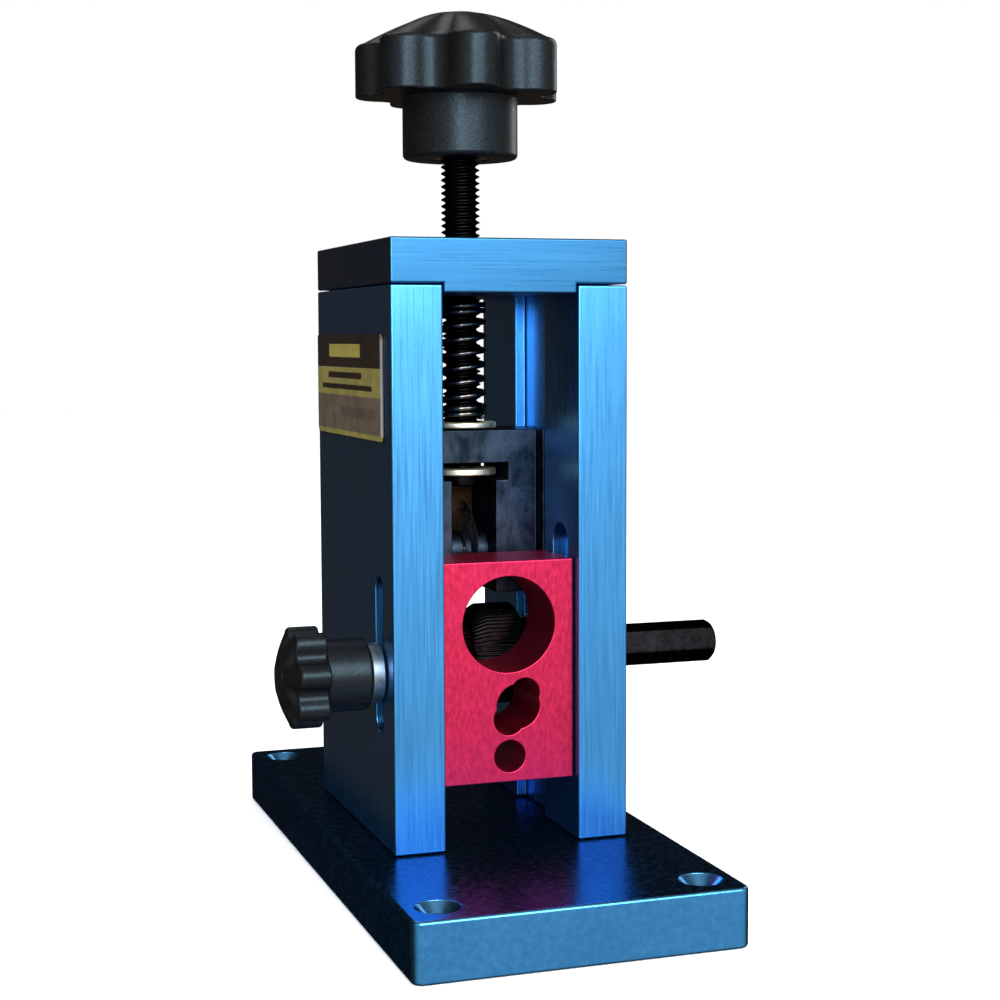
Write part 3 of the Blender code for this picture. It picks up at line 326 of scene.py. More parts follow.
def round_edges(mesh, width, segments=3, angle=50):
    """Rounds every edge that turns by more than the angle."""
    shape = bmesh.new()
    shape.from_mesh(mesh)
    sharp = [e for e in shape.edges if e.calc_face_angle(0) > math.radians(angle)]
    bmesh.ops.bevel(
        shape, geom=sharp, offset=width, segments=segments, profile=0.5, affect="EDGES"
    )
    shape.to_mesh(mesh)
    shape.free()
    return mesh


def placed(mesh, place=(0, 0, 0), turn=ALONG_Z):
    mesh.transform(Matrix.Translation(Vector(place)) @ turn)
    return mesh


def drill(rows, points, place, turn=ALONG_Z):
    """A turned cutter."""
    return placed(lathe("cut", rows, points), place, turn)


def carve(mesh, cutters):
    """The mesh with each cutter's solid taken out of it."""
    target = bpy.data.objects.new("carve_target", mesh)
    bpy.context.scene.collection.objects.link(target)
    tools = []
    for cutter in cutters:
        tool = bpy.data.objects.new("carve_tool", cutter)
        bpy.context.scene.collection.objects.link(tool)
        modifier = target.modifiers.new("carve", "BOOLEAN")
        modifier.operation = "DIFFERENCE"
        modifier.solver = "EXACT"
        modifier.object = tool
        tools.append(tool)
    bpy.context.view_layer.update()
    seen = target.evaluated_get(bpy.context.evaluated_depsgraph_get())
    made = bpy.data.meshes.new_from_object(seen)
    for spare in [target, *tools]:
        bpy.data.objects.remove(spare)
    return made


def add_piece(name, mesh, material, body, slot, nodes, smooth=38):
    """A piece that rides on a CAD body, stands for CAD nodes and takes one material. Its slot argument is not
    used.
    """
    mesh.shade_smooth()
    mesh.set_sharp_from_angle(angle=math.radians(smooth))
    mesh.materials.clear()
    mesh.materials.append(material)
    piece = bpy.data.objects.new(name, mesh)
    bpy.context.scene.collection.objects.link(piece)
    even = piece.modifiers.new("even_shading", "WEIGHTED_NORMAL")
    even.keep_sharp = True
    even.weight = 80
    if body is not None:
        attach(piece, body)
    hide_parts(*nodes)
    return piece


def add_node(node, mesh, material, body, slot, smooth=38):
    """The one detailed piece that stands for a CAD node."""
    return add_piece(f"{node}_fine", mesh, material, body, slot, [node], smooth)


# ---- outlines ----
def lobed(centre_radius, lobe_radius, valley_radius):
    """Radius of a fluted outline: round lobes joined by round valleys, one lobe at angle 0."""
    half = math.pi / LOBE_COUNT
    reach = lobe_radius + valley_radius
    valley_centre = centre_radius * math.cos(half) + math.sqrt(
        reach**2 - (centre_radius * math.sin(half)) ** 2
    )
    share = lobe_radius / reach
    meet_x = centre_radius + share * (valley_centre * math.cos(half) - centre_radius)
    meet_y = share * valley_centre * math.sin(half)
    meet = math.atan2(meet_y, meet_x)

    def radius(angle):
        off = abs((angle + half) % (2 * half) - half)
        if off < meet:
            inside = lobe_radius**2 - (centre_radius * math.sin(off)) ** 2
            return centre_radius * math.cos(off) + math.sqrt(inside)
        off = half - off
        inside = valley_radius**2 - (valley_centre * math.sin(off)) ** 2
        return valley_centre * math.cos(off) - math.sqrt(inside)

    return radius


def hexagon(across_flats, corner=0.0):
    """Radius of a hexagon with a corner at angle 0, its corners rounded to that radius."""
    flat = across_flats / 2
    centre = (flat - corner) / math.cos(math.pi / 6)

    def radius(angle):
        off = abs((angle % (math.pi / 3)) - math.pi / 6)  # from the flat's middle
        if flat * math.tan(off) <= (flat - corner) * math.tan(math.pi / 6):
            return flat / math.cos(off)
        off = math.pi / 6 - off
        return centre * math.cos(off) + math.sqrt(corner**2 - (centre * math.sin(off)) ** 2)

    return radius


def capped(radius, limit):
    return lambda angle: min(radius(angle), limit)


def shrunk(radius, by):
    return lambda angle: radius(angle) - by


def mixed(radius, share, cap):
    """From the round cap (share 0) to the full outline (share 1)."""
    return lambda angle: cap + (radius(angle) - cap) * share


def thread(major, depth, pitch, z):
    """Radius round a right-hand thread at height z: flat crests and roots between straight flanks."""

    def radius(angle):
        from_crest = abs((z / pitch - angle / math.tau + 0.5) % 1.0 - 0.5)
        down = (from_crest - THREAD_CREST / 2) / (1 / 2 - THREAD_ROOT / 2 - THREAD_CREST / 2)
        return major - depth * min(max(down, 0.0), 1.0)

    return radius


def thread_rows(low, high, major, pitch, rows_a_turn=12):
    """Rows of a threaded length whose ends taper down to the root."""
    depth = THREAD_DEPTH * pitch
    steps = max(2, round((high - low) / pitch * rows_a_turn))
    rows = []
    for i in range(steps + 1):
        z = low + (high - low) * i / steps
        from_end = min(z - low, high - z)
        limit = major - depth + from_end
        rows.append((z, capped(thread(major, depth, pitch, z), limit)))
    return rows


# ---- material helpers ----
class Nodes:
    """A node tree, built node by node."""

    def __init__(self, tree):
        self.tree = tree

    def new(self, kind):
        return self.tree.nodes.new(kind)

    def link(self, source, target):
        self.tree.links.new(source, target)

    def spread(self, value, from_low, from_high, to_low, to_high, kind="LINEAR"):
        node = self.new("ShaderNodeMapRange")
        node.interpolation_type = kind
        node.inputs["From Min"].default_value = from_low
        node.inputs["From Max"].default_value = from_high
        node.inputs["To Min"].default_value = to_low
        node.inputs["To Max"].default_value = to_high
        self.link(value, node.inputs["Value"])
        return node.outputs["Result"]

    def blend(self, share, low, high):
        """A colour between two colours, either of which may be another node's output."""
        node = self.new("ShaderNodeMix")
        node.data_type = "RGBA"
        self.link(share, node.inputs["Factor"])
        for socket, colour in (("A", low), ("B", high)):
            target = next(s for s in node.inputs if s.name == socket and s.type == "RGBA")
            if isinstance(colour, tuple):
                target.default_value = (*colour, 1.0)
            else:
                self.link(colour, target)
        return next(s for s in node.outputs if s.type == "RGBA")

    def shade(self, value, start, end, most, low, high):
        """From low to high as the value goes from start to end, up to this share of high."""
        return self.blend(self.spread(value, start, end, 0.0, most), low, high)


class Finish(Nodes):
    """A Principled material. Textures read object coordinates, in metres."""

    def __init__(self, name, roughness, metallic=0.0, **values):
        self.material = bpy.data.materials.new(name)
        self.material.use_nodes = True
        super().__init__(self.material.node_tree)
        self.shader = self.tree.nodes["Principled BSDF"]
        self.shader.inputs["Roughness"].default_value = roughness
        self.shader.inputs["Metallic"].default_value = metallic
        for socket, value in values.items():
            self.shader.inputs[socket.replace("_", " ")].default_value = value
        self.coordinates = self.new("ShaderNodeTexCoord").outputs["Object"]

    def texture(self, kind, scale):
        """A texture node with this many features a metre along X, Y and Z."""
        mapping = self.new("ShaderNodeMapping")
        mapping.inputs["Scale"].default_value = scale
        self.link(self.coordinates, mapping.inputs["Vector"])
        node = self.new(kind)
        node.inputs["Scale"].default_value = 1.0
        self.link(mapping.outputs["Vector"], node.inputs["Vector"])
        return node

    def noise(self, scale, detail=3.0, roughness=0.55, distortion=0.0):
        """Noise from 0 to 1."""
        node = self.texture("ShaderNodeTexNoise", scale)
        node.inputs["Detail"].default_value = detail
        node.inputs["Roughness"].default_value = roughness
        node.inputs["Distortion"].default_value = distortion
        return node.outputs["Fac"]

    def upward(self):
        """1 on faces that point up, 0 on upright ones."""
        facing = self.new("ShaderNodeNewGeometry")
        split = self.new("ShaderNodeSeparateXYZ")
        self.link(facing.outputs["Normal"], split.inputs["Vector"])
        return self.spread(split.outputs["Z"], 0.5, 0.95, 0.0, 1.0)

    def cells(self, scale):
        """Distance to the nearest of scattered points."""
        return self.texture("ShaderNodeTexVoronoi", scale).outputs["Distance"]

    def colour(self, source):
        self.link(source, self.shader.inputs["Base Color"])

    def rough(self, value, low, high):
        self.link(self.spread(value, 0.3, 0.7, low, high), self.shader.inputs["Roughness"])

    def bump(self, *layers):
        """Layers of (height, depth in metres), one on top of the other."""
        normal = None
        for height, depth in layers:
            node = self.new("ShaderNodeBump")
            node.inputs["Distance"].default_value = depth
            self.link(height, node.inputs["Height"])
            if normal is not None:
                self.link(normal, node.inputs["Normal"])
            normal = node.outputs["Normal"]
        self.link(normal, self.shader.inputs["Normal"])


# ---- finishes ----
BLUE_LOW = (0.058, 0.285, 0.640)
BLUE_HIGH = (0.098, 0.430, 0.860)
BLUE_EDGE = (1.0, 0.82, 0.82, 1.0)


def blue_anodised(name, grain, bands, roughness, depth=1.0, edge_tint=BLUE_EDGE, top_painted_shade=None):
    """Anodised aluminium over a brushed or milled grain. depth darkens it as painted shade, a darker copy of
    the same blue, and a top colour is painted shade on faces that point up.
    """
    finish = Finish(name, roughness, 1.0, Specular_Tint=edge_tint)
    # depth scales both blues down: painted shade, a darker copy of the same anodised blue
    low = tuple(depth * c for c in BLUE_LOW)
    high = tuple(depth * c for c in BLUE_HIGH)
    fine = finish.noise(grain, detail=4.0, roughness=0.62)
    broad = finish.noise(bands, detail=2.0)
    cloud = finish.noise((60, 60, 60), detail=2.0)
    streaked = finish.blend(finish.spread(fine, 0.2, 0.8, 0.18, 0.82), low, high)
    deep = finish.shade(broad, 0.35, 0.65, 0.35, streaked, low)
    clouded_and_top_shade = finish.shade(cloud, 0.4, 0.7, 0.25, deep, high)
    # painted shade: faces that point up blend to a darker blue, standing in for a dim top
    if top_painted_shade:
        clouded_and_top_shade = finish.blend(finish.upward(), clouded_and_top_shade, top_painted_shade)
    finish.colour(clouded_and_top_shade)
    finish.rough(fine, roughness - 0.05, roughness + 0.07)
    pits = finish.noise((1800, 1800, 1800), detail=2.0)
    finish.bump((fine, 0.007 * MM), (pits, 0.004 * MM))
    return finish.material


def red_anodised():
    """Anodised aluminium with a faint upright grain."""
    finish = Finish("red_anodised_fine", 0.36, 1.0)
    fine = finish.noise((1300, 1300, 500), detail=3.0, roughness=0.6)
    cloud = finish.noise((45, 45, 45), detail=3.0)
    base = finish.shade(fine, 0.3, 0.7, 1.0, (0.56, 0.022, 0.070), (0.68, 0.031, 0.100))
    finish.colour(finish.shade(cloud, 0.4, 0.65, 0.5, base, (0.64, 0.026, 0.125)))
    finish.rough(fine, 0.32, 0.44)
    pits = finish.noise((1500, 1500, 1500), detail=2.0)
    finish.bump((fine, 0.010 * MM), (pits, 0.006 * MM))
    return finish.material


def black_plastic():
    """Moulded black plastic with a fine eroded texture."""
    tint = (0.52, 0.80, 1.0, 1.0)
    finish = Finish("black_plastic_fine", 0.42, 0.0, Specular_IOR_Level=0.30, Specular_Tint=tint)
    speckle = finish.noise((1500, 1500, 1500), detail=3.0, roughness=0.6)
    grain = finish.cells((1100, 1100, 1100))
    cloud = finish.noise((55, 55, 55), detail=2.0)
    low, high = (0.0024, 0.0021, 0.0021), (0.0060, 0.0054, 0.0052)
    base = finish.shade(speckle, 0.35, 0.7, 1.0, low, high)
    finish.colour(finish.shade(cloud, 0.45, 0.7, 0.4, base, (0.0055, 0.0045, 0.0038)))
    finish.rough(speckle, 0.30, 0.42)
    finish.bump((speckle, 0.04 * MM), (grain, 0.02 * MM))
    return finish.material


def dark_steel():
    """Dark hardened steel with smears and scratches."""
    finish = Finish("dark_steel_fine", 0.4, 1.0, Specular_Tint=(0.35, 0.42, 0.5, 1.0))
    smear = finish.noise((170, 170, 110), detail=6.0, roughness=0.7, distortion=0.5)
    scratch = finish.noise((2600, 2600, 140), detail=3.0, roughness=0.7)
    base = finish.shade(smear, 0.38, 0.62, 1.0, (0.010, 0.016, 0.025), (0.038, 0.056, 0.082))
    finish.colour(finish.shade(scratch, 0.64, 0.80, 0.5, base, (0.13, 0.15, 0.18)))
    finish.rough(smear, 0.30, 0.50)
    finish.bump((scratch, 0.010 * MM), (smear, 0.02 * MM))
    return finish.material


def black_oxide(name, low, high, roughness):
    """Blackened steel, mottled and a little worn."""
    finish = Finish(name, roughness, 1.0, Specular_Tint=(0.35, 0.36, 0.38, 1.0))
    mottle = finish.noise((700, 700, 700), detail=4.0, roughness=0.6)
    worn = finish.noise((160, 160, 60), detail=3.0, distortion=0.6)
    base = finish.shade(mottle, 0.3, 0.7, 1.0, low, high)
    finish.colour(finish.shade(worn, 0.55, 0.75, 0.35, base, tuple(1.6 * c for c in high)))
    finish.rough(mottle, roughness - 0.06, roughness + 0.1)
    finish.bump((mottle, 0.010 * MM))
    return finish.material


def plated(name, low, high, roughness):
    """Bare or plated metal with slight mottling."""
    finish = Finish(name, roughness, 1.0)
    mottle = finish.noise((500, 500, 500), detail=4.0, roughness=0.6)
    cloud = finish.noise((110, 110, 110), detail=2.0, distortion=0.5)
    base = finish.shade(mottle, 0.3, 0.7, 1.0, low, high)
    finish.colour(finish.shade(cloud, 0.5, 0.75, 0.4, base, low))
    finish.rough(mottle, roughness - 0.05, roughness + 0.08)
    finish.bump((mottle, 0.008 * MM))
    return finish.material


def ink(name, colour):
    """Glossy printed film with slight unevenness."""
    finish = Finish(name, 0.42, 0.0)
    cloud = finish.noise((260, 260, 260), detail=3.0)
    dark = tuple(0.78 * c for c in colour)
    finish.colour(finish.shade(cloud, 0.35, 0.65, 1.0, dark, colour))
    finish.rough(cloud, 0.36, 0.50)
    finish.bump((cloud, 0.01 * MM))
    return finish.material


BLUE_UPRIGHT = blue_anodised("blue_anodised_upright", (2200, 2200, 45), (150, 130, 4), 0.29)
# the top plate's blues at 0.46 of the side plates': painted shade for its front catching less light
BLUE_LEVEL = blue_anodised("blue_anodised_level", (45, 2200, 2200), (5, 120, 260), 0.30, 0.46)
BLUE_SATIN = blue_anodised(
    "blue_anodised_satin",
    (600, 600, 600),
    (70, 40, 70),
    0.24,
    edge_tint=(0.30, 0.15, 0.14, 1.0),
    # painted shade on the base plate's top face
    top_painted_shade=(0.085, 0.230, 0.400),
)
RED = red_anodised()
PLASTIC = black_plastic()
DARK_STEEL = dark_steel()
OXIDE = black_oxide("black_oxide_fine", (0.003, 0.003, 0.0033), (0.010, 0.010, 0.0115), 0.32)
SPRING_STEEL = black_oxide("spring_steel_fine", (0.060, 0.057, 0.052), (0.17, 0.165, 0.150), 0.17)
# blackened steel whose brown tone is painted shade and painted brown reflection for the pocket behind the
# blade
GUARD_OXIDE_AND_SHADE = black_oxide("guard_oxide_and_shade_fine", (0.020, 0.011, 0.006), (0.060, 0.034, 0.018), 0.46)
ROLLER_STEEL = black_oxide("roller_steel_fine", (0.004, 0.004, 0.005), (0.013, 0.013, 0.015), 0.38)
BRIGHT = plated("bright_steel_fine", (0.46, 0.47, 0.49), (0.66, 0.67, 0.69), 0.24)
ZINC = plated("zinc_fine", (0.78, 0.77, 0.52), (0.95, 0.94, 0.80), 0.46)
GREY = plated("grey_steel_fine", (0.13, 0.17, 0.21), (0.22, 0.27, 0.32), 0.42)
BRONZE = plated("bronze_fine", (0.32, 0.18, 0.07), (0.50, 0.31, 0.13), 0.38)
BRASS = plated("brass_fine", (0.50, 0.34, 0.11), (0.70, 0.52, 0.20), 0.28)
INK_FIELD = ink("label_olive", (0.165, 0.140, 0.030))
INK_DARK = ink("label_dark", (0.018, 0.010, 0.008))
INK_GOLD = ink("label_gold", (0.22, 0.18, 0.030))
INK_TAUPE = ink("label_taupe", (0.085, 0.062, 0.042))
INK_SHADE = ink("label_shade", (0.066, 0.046, 0.033))
INK_LIGHT = ink("label_light", (0.24, 0.24, 0.23))


# ---- frame ----
def frame_screw_places():
    """Where the four screws of the base plate and of the top plate stand."""
    across = (INNER_X + OUTER_X) / 2
    low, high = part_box("base_screw_1")
    inset = (low.y + high.y) / 2 - FRONT_Y
    return [(side * across, y) for side in (-1, 1) for y in (FRONT_Y + inset, BACK_Y - inset)]


def sink_rows(kind, depth):
    """A countersunk hole's cutter, from past the surface at z = 0 down to depth, with a rounded rim."""
    head = kind["head"] / 2 + GAP
    shank = kind["shank"] / 2 + GAP
    rim = SCREW_RECESS + SCREW_HEAD_RIM
    edge = 0.15 * MM
    rows = [(CUT_PAST, head + edge)] + edge_rows(0, head, edge, DOWNWARD, OUTWARD)
    return rows + [(-rim, head), (-rim - (head - shank), shank), (-depth, shank)]


def make_base():
    half_x, half_y = BASE_HIGH.x, BASE_HIGH.y
    loops = []
    for z, off in round_bar(BASE_LOW.z, BASE_HIGH.z, 0, BASE_EDGE):
        loops.append(rounded_loop(half_x + off, half_y + off, BASE_CORNER_RADIUS + off, z))
    mesh = loft("base_plate_fine", loops)
    cutters = []
    hole = MOUNT_HOLE_DIAMETER / 2
    sink = hole + MOUNT_SINK
    edge = 0.2 * MM
    top = [(CUT_PAST, sink + edge)] + edge_rows(0, sink, edge, DOWNWARD, OUTWARD)
    thickness = BASE_HIGH.z - BASE_LOW.z
    rows = top + [(-MOUNT_SINK, hole), (-thickness - CUT_PAST, hole)]
    for x in (MOUNT_INSET_X - half_x, half_x - MOUNT_INSET_X):
        for y in (MOUNT_INSET_Y - half_y, half_y - MOUNT_INSET_Y):
            cutters.append(drill(rows, 72, (x, y, BASE_HIGH.z)))
    for x, y in frame_screw_places():
        rows = sink_rows(BASE_SCREW, thickness + CUT_PAST)
        cutters.append(drill(rows, 48, (x, y, BASE_LOW.z), DOWN))
    mesh = carve(mesh, cutters)
    add_node("base_plate", mesh, BLUE_SATIN, "frame", "blue_anodised")


def half_height(node):
    """A node's radius, where it is turned about a level axis."""
    low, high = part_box(node)
    return (high.z - low.z) / 2


def bush_bore():
    return JOURNAL_DIAMETER / 2 + GAP


def bush_outside():
    """Radius of a bush's body, from the shaft's journal outwards."""
    return bush_bore() + BUSH_WALL


def make_side_plate(side):
    """A side plate: the carriage's groove, its bush seat, and the lock slot or the key groove."""
    node = "left_side_plate" if side < 0 else "right_side_plate"
    low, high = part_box(node)
    inner, outer, floor = side * INNER_X, side * OUTER_X, side * GROOVE_FLOOR_X
    groove_back = GROOVE_Y + GROOVE_WIDTH
    outline = [
        (outer, FRONT_Y),
        (outer, BACK_Y),
        (inner, BACK_Y),
        (inner, groove_back),
        (floor, groove_back),
        (floor, GROOVE_Y),
        (inner, GROOVE_Y),
        (inner, FRONT_Y),
    ]
    mesh = round_edges(prism(node, outline, low.z, high.z), FRAME_EDGE)
    turn = ALONG_MINUS_X if side < 0 else ALONG_X
    flange = half_height("left_shaft_bush") + GAP
    seat = bush_outside() + GAP
    end = OUTER_X - BLIND_WALL if side < 0 else OUTER_X
    edge = 0.2 * MM
    rows = [(INNER_X - CUT_PAST, flange + edge), (INNER_X, flange + edge), (INNER_X + edge, flange)]
    rows += [(GROOVE_FLOOR_X, flange), (GROOVE_FLOOR_X, seat)]
    if side < 0:
        rows.append((end, seat))
    else:
        edge = 0.3 * MM
        rows += [(end - edge, seat), (end, seat + edge), (end + CUT_PAST, seat + edge)]
    cutters = [drill(rows, 72, (0, DRIVE_Y, DRIVE_Z), turn)]
    for x, y in frame_screw_places():
        if x * side > 0:
            for kind, z, way, start in (
                (BASE_SCREW, 0, ALONG_Z, low.z - CUT_PAST),
                (TOP_SCREW, TOP_HIGH.z, DOWN, TOP_HIGH.z - high.z - CUT_PAST),
            ):
                shank = kind["shank"] / 2 + GAP
                depth = SCREW_RECESS + kind["length"] + TAPPED_PAST_SCREW
                cutters.append(drill([(start, shank), (depth, shank)], 32, (x, y, z), way))
    if side < 0:
        bottom, top, width = -LOCK_SLOT_BELOW, LOCK_SLOT_ABOVE, LOCK_SLOT_WIDTH
        depths = hole_rows(INNER_X, OUTER_X, 0, SLOT_EDGE)
    else:
        key_low, key_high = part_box("guide_key")
        bottom = key_low.z - LOCK_Z - KEY_SLOT_BELOW
        top = key_high.z - LOCK_Z + KEY_SLOT_ABOVE
        width = key_high.y - key_low.y + 2 * GAP
        rim = [(INNER_X + into, off) for into, off in rounding(SLOT_EDGE)]
        depths = [(INNER_X - CUT_PAST, SLOT_EDGE)] + rim + [(key_high.x + GAP, 0)]
    loops = []
    for depth, off in depths:
        loop = slot_loop(width + 2 * off, bottom - off, top + off, depth)
        loops.append([(-side * y, x, z) for x, y, z in loop])
    cutters.append(placed(loft("cut", loops), (0, GUIDE_Y, LOCK_Z), turn))
    mesh = carve(mesh, cutters)
    add_node(node, mesh, BLUE_UPRIGHT, "frame", "blue_anodised")


def make_top_plate():
    tongue = INNER_X - GAP
    joint = TOP_LOW.z + TOP_TONGUE_JOINT
    outline = [
        (-OUTER_X, joint),
        (-tongue, joint),
        (-tongue, TOP_LOW.z),
        (tongue, TOP_LOW.z),
        (tongue, joint),
        (OUTER_X, joint),
        (OUTER_X, TOP_HIGH.z),
        (-OUTER_X, TOP_HIGH.z),
    ]
    mesh = prism("top_plate", outline, -BACK_Y, -FRONT_Y)
    mesh.transform(Matrix.Rotation(math.radians(90), 4, "X"))
    mesh = round_edges(mesh, FRAME_EDGE)
    hole = SCREW_DIAMETER / 2 + GAP
    cutters = [drill(hole_rows(TOP_LOW.z, TOP_HIGH.z, hole, 0.3 * MM), 72, (0, DRIVE_Y, 0))]
    for x, y in frame_screw_places():
        rows = sink_rows(TOP_SCREW, TOP_HIGH.z - TOP_LOW.z + CUT_PAST)
        cutters.append(drill(rows, 48, (x, y, TOP_HIGH.z)))
    mesh = carve(mesh, cutters)
    add_node("top_plate", mesh, BLUE_LEVEL, "frame", "blue_anodised")


def make_frame_screws():
    """Countersunk screws with hexagon sockets and threaded shanks."""
    for label, kind, z, way in (
        ("base_screw", BASE_SCREW, BASE_LOW.z + SCREW_RECESS, DOWN),
        ("top_screw", TOP_SCREW, TOP_HIGH.z - SCREW_RECESS, ALONG_Z),
    ):
        head, shank = kind["head"] / 2, kind["shank"] / 2
        socket = hexagon(kind["socket"])
        depth = 0.55 * (head - shank) + SCREW_HEAD_RIM
        edge = 0.12 * MM
        cone_end = -SCREW_HEAD_RIM - (head - shank)
        rows = [(-depth, socket), (-edge, socket), (0, shrunk(socket, -edge))]
        rows += edge_rows(0, head, edge, DOWNWARD, INWARD)
        rows += [(-SCREW_HEAD_RIM, head), (cone_end, shank)]
        rows += thread_rows(-kind["length"], cone_end - 0.5 * MM, shank, kind["pitch"], 6)[::-1]
        for number, (x, y) in enumerate(frame_screw_places(), start=1):
            mesh = placed(lathe(label, rows, 48), (x, y, z), way)
            node = f"{label}_{number}"
            add_node(node, mesh, OXIDE, "frame", "black_oxide")


def make_bushes():
    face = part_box("right_shaft_bush")[0].x
    edge = 0.2 * MM
    bore = bush_bore()
    for side, node, turn in ((-1, "left_shaft_bush", ALONG_MINUS_X), (1, "right_shaft_bush", ALONG_X)):
        low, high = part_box(node)
        end = -low.x if side < 0 else high.x
        back = face + BUSH_FLANGE_THICKNESS
        flange, outside = half_height(node), bush_outside()
        rows = edge_rows(face, bore, edge, UPWARD, OUTWARD)[::-1]
        rows += edge_rows(face, flange, edge, UPWARD, INWARD)
        rows += edge_rows(back, flange, edge, DOWNWARD, INWARD)[::-1]
        rows += [(back, outside)]
        rows += edge_rows(end, outside, edge, DOWNWARD, INWARD)[::-1]
        rows += edge_rows(end, bore, edge, DOWNWARD, OUTWARD)
        mesh = placed(lathe(node, rows, 96, ring=True), (0, DRIVE_Y, DRIVE_Z), turn)
        add_node(node, mesh, BRONZE, "frame", "bronze")


def make_label():
    """A printed label: a film with round corners, and its bands and bars as thin layers of ink."""
    low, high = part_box("side_label")
    place = (0, (low.y + high.y) / 2, (low.z + high.z) / 2)
    half_y, half_z = (high.y - low.y) / 2, (high.z - low.z) / 2
    face = -low.x
    film_face = face - 2 * LABEL_INK
    # local x points down and local y points to the back once local z is turned to -X
    turn = ALONG_MINUS_X

    def plate(name, x_low, x_high, y_low, y_high, z_low, z_high, radius):
        half_a, half_b = (x_high - x_low) / 2, (y_high - y_low) / 2
        middle_a, middle_b = (x_high + x_low) / 2, (y_high + y_low) / 2
        loops = []
        for z in (z_low, z_high):
            loop = rounded_loop(half_a, half_b, radius, z)
            loops.append([(x + middle_a, y + middle_b, depth) for x, y, depth in loop])
        return placed(loft(name, loops), place, turn)

    film = plate("side_label_film", -half_z, half_z, -half_y, half_y, -high.x, film_face, LABEL_CORNER_RADIUS)
    add_piece("side_label_film", film, INK_DARK, "frame", "printed_label", ["side_label"])
    inside_y, inside_z = half_y - LABEL_BORDER, half_z - LABEL_BORDER
    tall = 2 * inside_z

    def band(name, top, bottom, left, right, material, layer):
        """A printed area: top and bottom are shares from the top, left and right from the back."""
        x_high = inside_z - top * tall
        x_low = inside_z - bottom * tall
        y_low = inside_y - 2 * inside_y * right
        y_high = inside_y - 2 * inside_y * left
        radius = LABEL_CORNER_RADIUS - LABEL_BORDER if layer == 0 else 0.05 * MM
        start = film_face + (layer - 0.5) * LABEL_INK
        end = film_face + (layer + 1) * LABEL_INK
        mesh = plate(name, x_low, x_high, y_low, y_high, start, end, radius)
        add_piece(name, mesh, material, "frame", "printed_label", ["side_label"])

    band("side_label_field", 0.0, 1.0, 0.0, 1.0, INK_FIELD, 0)
    band("side_label_top_band", 0.0, 0.32, 0.0, 0.97, INK_DARK, 1)
    band("side_label_lower_band", 0.60, 0.95, 0.0, 0.97, INK_TAUPE, 1)
    band("side_label_front_line", 0.05, 0.95, 0.97, 1.0, INK_LIGHT, 1)
    band("side_label_title_bar", 0.09, 0.22, 0.20, 0.68, INK_GOLD, 2)
    band("side_label_bar_1", 0.37, 0.43, 0.18, 0.70, INK_DARK, 1)
    band("side_label_bar_2", 0.49, 0.54, 0.08, 0.85, INK_DARK, 1)
    band("side_label_patch", 0.71, 0.81, 0.38, 0.90, INK_SHADE, 2)


# ---- drive ----
def make_drive():
    """The drive shaft: a journal, a shoulder that the hexagon rises from, and a turned end chamfer."""
    low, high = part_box("drive_shaft")
    journal = JOURNAL_DIAMETER / 2
    start = OUTER_X + GAP
    outline = hexagon(HEX_ACROSS_FLATS, HEX_CORNER_RADIUS)
    corner = HEX_ACROSS_FLATS / 2 / math.cos(math.pi / 6)
    step, rise, shoulder = 0.45 * MM, 0.7 * MM, 0.6 * MM
    rows = edge_rows(low.x, journal, 0.7 * MM, UPWARD, INWARD) + [(start - 0.02 * MM, journal)]
    steps = 6
    for i in range(steps + 1):
        limit = journal + step + rise * i / steps
        rows.append((start + shoulder * i / steps, capped(outline, limit)))
    chamfer_length, chamfer_depth, before_chamfer = 0.992 * MM, 1.15 * MM, 1.8 * MM
    rows += [(start + 2 * shoulder, outline), (high.x - before_chamfer, outline)]
    steps = 10
    for i in range(steps + 1):
        limit = corner - chamfer_depth * i / steps
        rows.append((high.x - chamfer_length * (1 - i / steps), capped(outline, limit)))
    turn = Matrix.Rotation(HEX_TURN, 4, "X") @ ALONG_X
    mesh = placed(lathe("drive_shaft", rows, 144), (0, DRIVE_Y, DRIVE_Z), turn)
    add_node("drive_shaft", mesh, OXIDE, "drive", "black_oxide", smooth=24)


def make_roller():
    """The feed roller: straight knurling, a V groove and two hubs."""
    hole = bush_bore()
    outside = half_height("feed_roller")
    hub, hub_end = ROLLER_HUB_DIAMETER / 2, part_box("feed_roller")[1].x
    half, half_groove = ROLLER_FACE_WIDTH / 2, ROLLER_GROOVE_WIDTH / 2

    def knurled(radius, depth):
        return lambda angle: radius - depth * (0.5 + 0.5 * math.cos(ROLLER_TEETH * angle))

    end = edge_rows(-hub_end, hole, 0.2 * MM, UPWARD, OUTWARD)[::-1]
    end += edge_rows(-hub_end, hub, 0.3 * MM, UPWARD, INWARD)
    end += [
        (-half, hub),
        (-half, outside - ROLLER_EDGE - ROLLER_TOOTH),
        (-half + 0.1 * MM, knurled(outside - ROLLER_EDGE, ROLLER_TOOTH / 2)),
        (-half + ROLLER_EDGE, knurled(outside, ROLLER_TOOTH)),
        (-half_groove, knurled(outside, ROLLER_TOOTH)),
    ]
    rows = end + [(0, outside - ROLLER_GROOVE_DEPTH)] + [(-x, radius) for x, radius in end[::-1]]
    mesh = lathe("feed_roller", rows, ROLLER_TEETH * 5, ring=True)
    seat = (middle("roller_set_screw").x, DRIVE_Y, DRIVE_Z)
    tapped = ROLLER_SET_SCREW["diameter"] / 2 + GAP
    cutter = drill([(0, tapped), (hub + CUT_PAST, tapped)], 32, seat, ALONG_Z)
    mesh = carve(placed(mesh, (0, DRIVE_Y, DRIVE_Z), ALONG_X), [cutter])
    add_node("feed_roller", mesh, ROLLER_STEEL, "drive", "dark_steel")
    low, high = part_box("roller_set_screw")
    rows = grub_rows(low.z - DRIVE_Z, high.z - DRIVE_Z, **ROLLER_SET_SCREW)
    mesh = placed(lathe("grub", rows, 48), seat)
    add_node("roller_set_screw", mesh, OXIDE, "drive", "black_oxide")


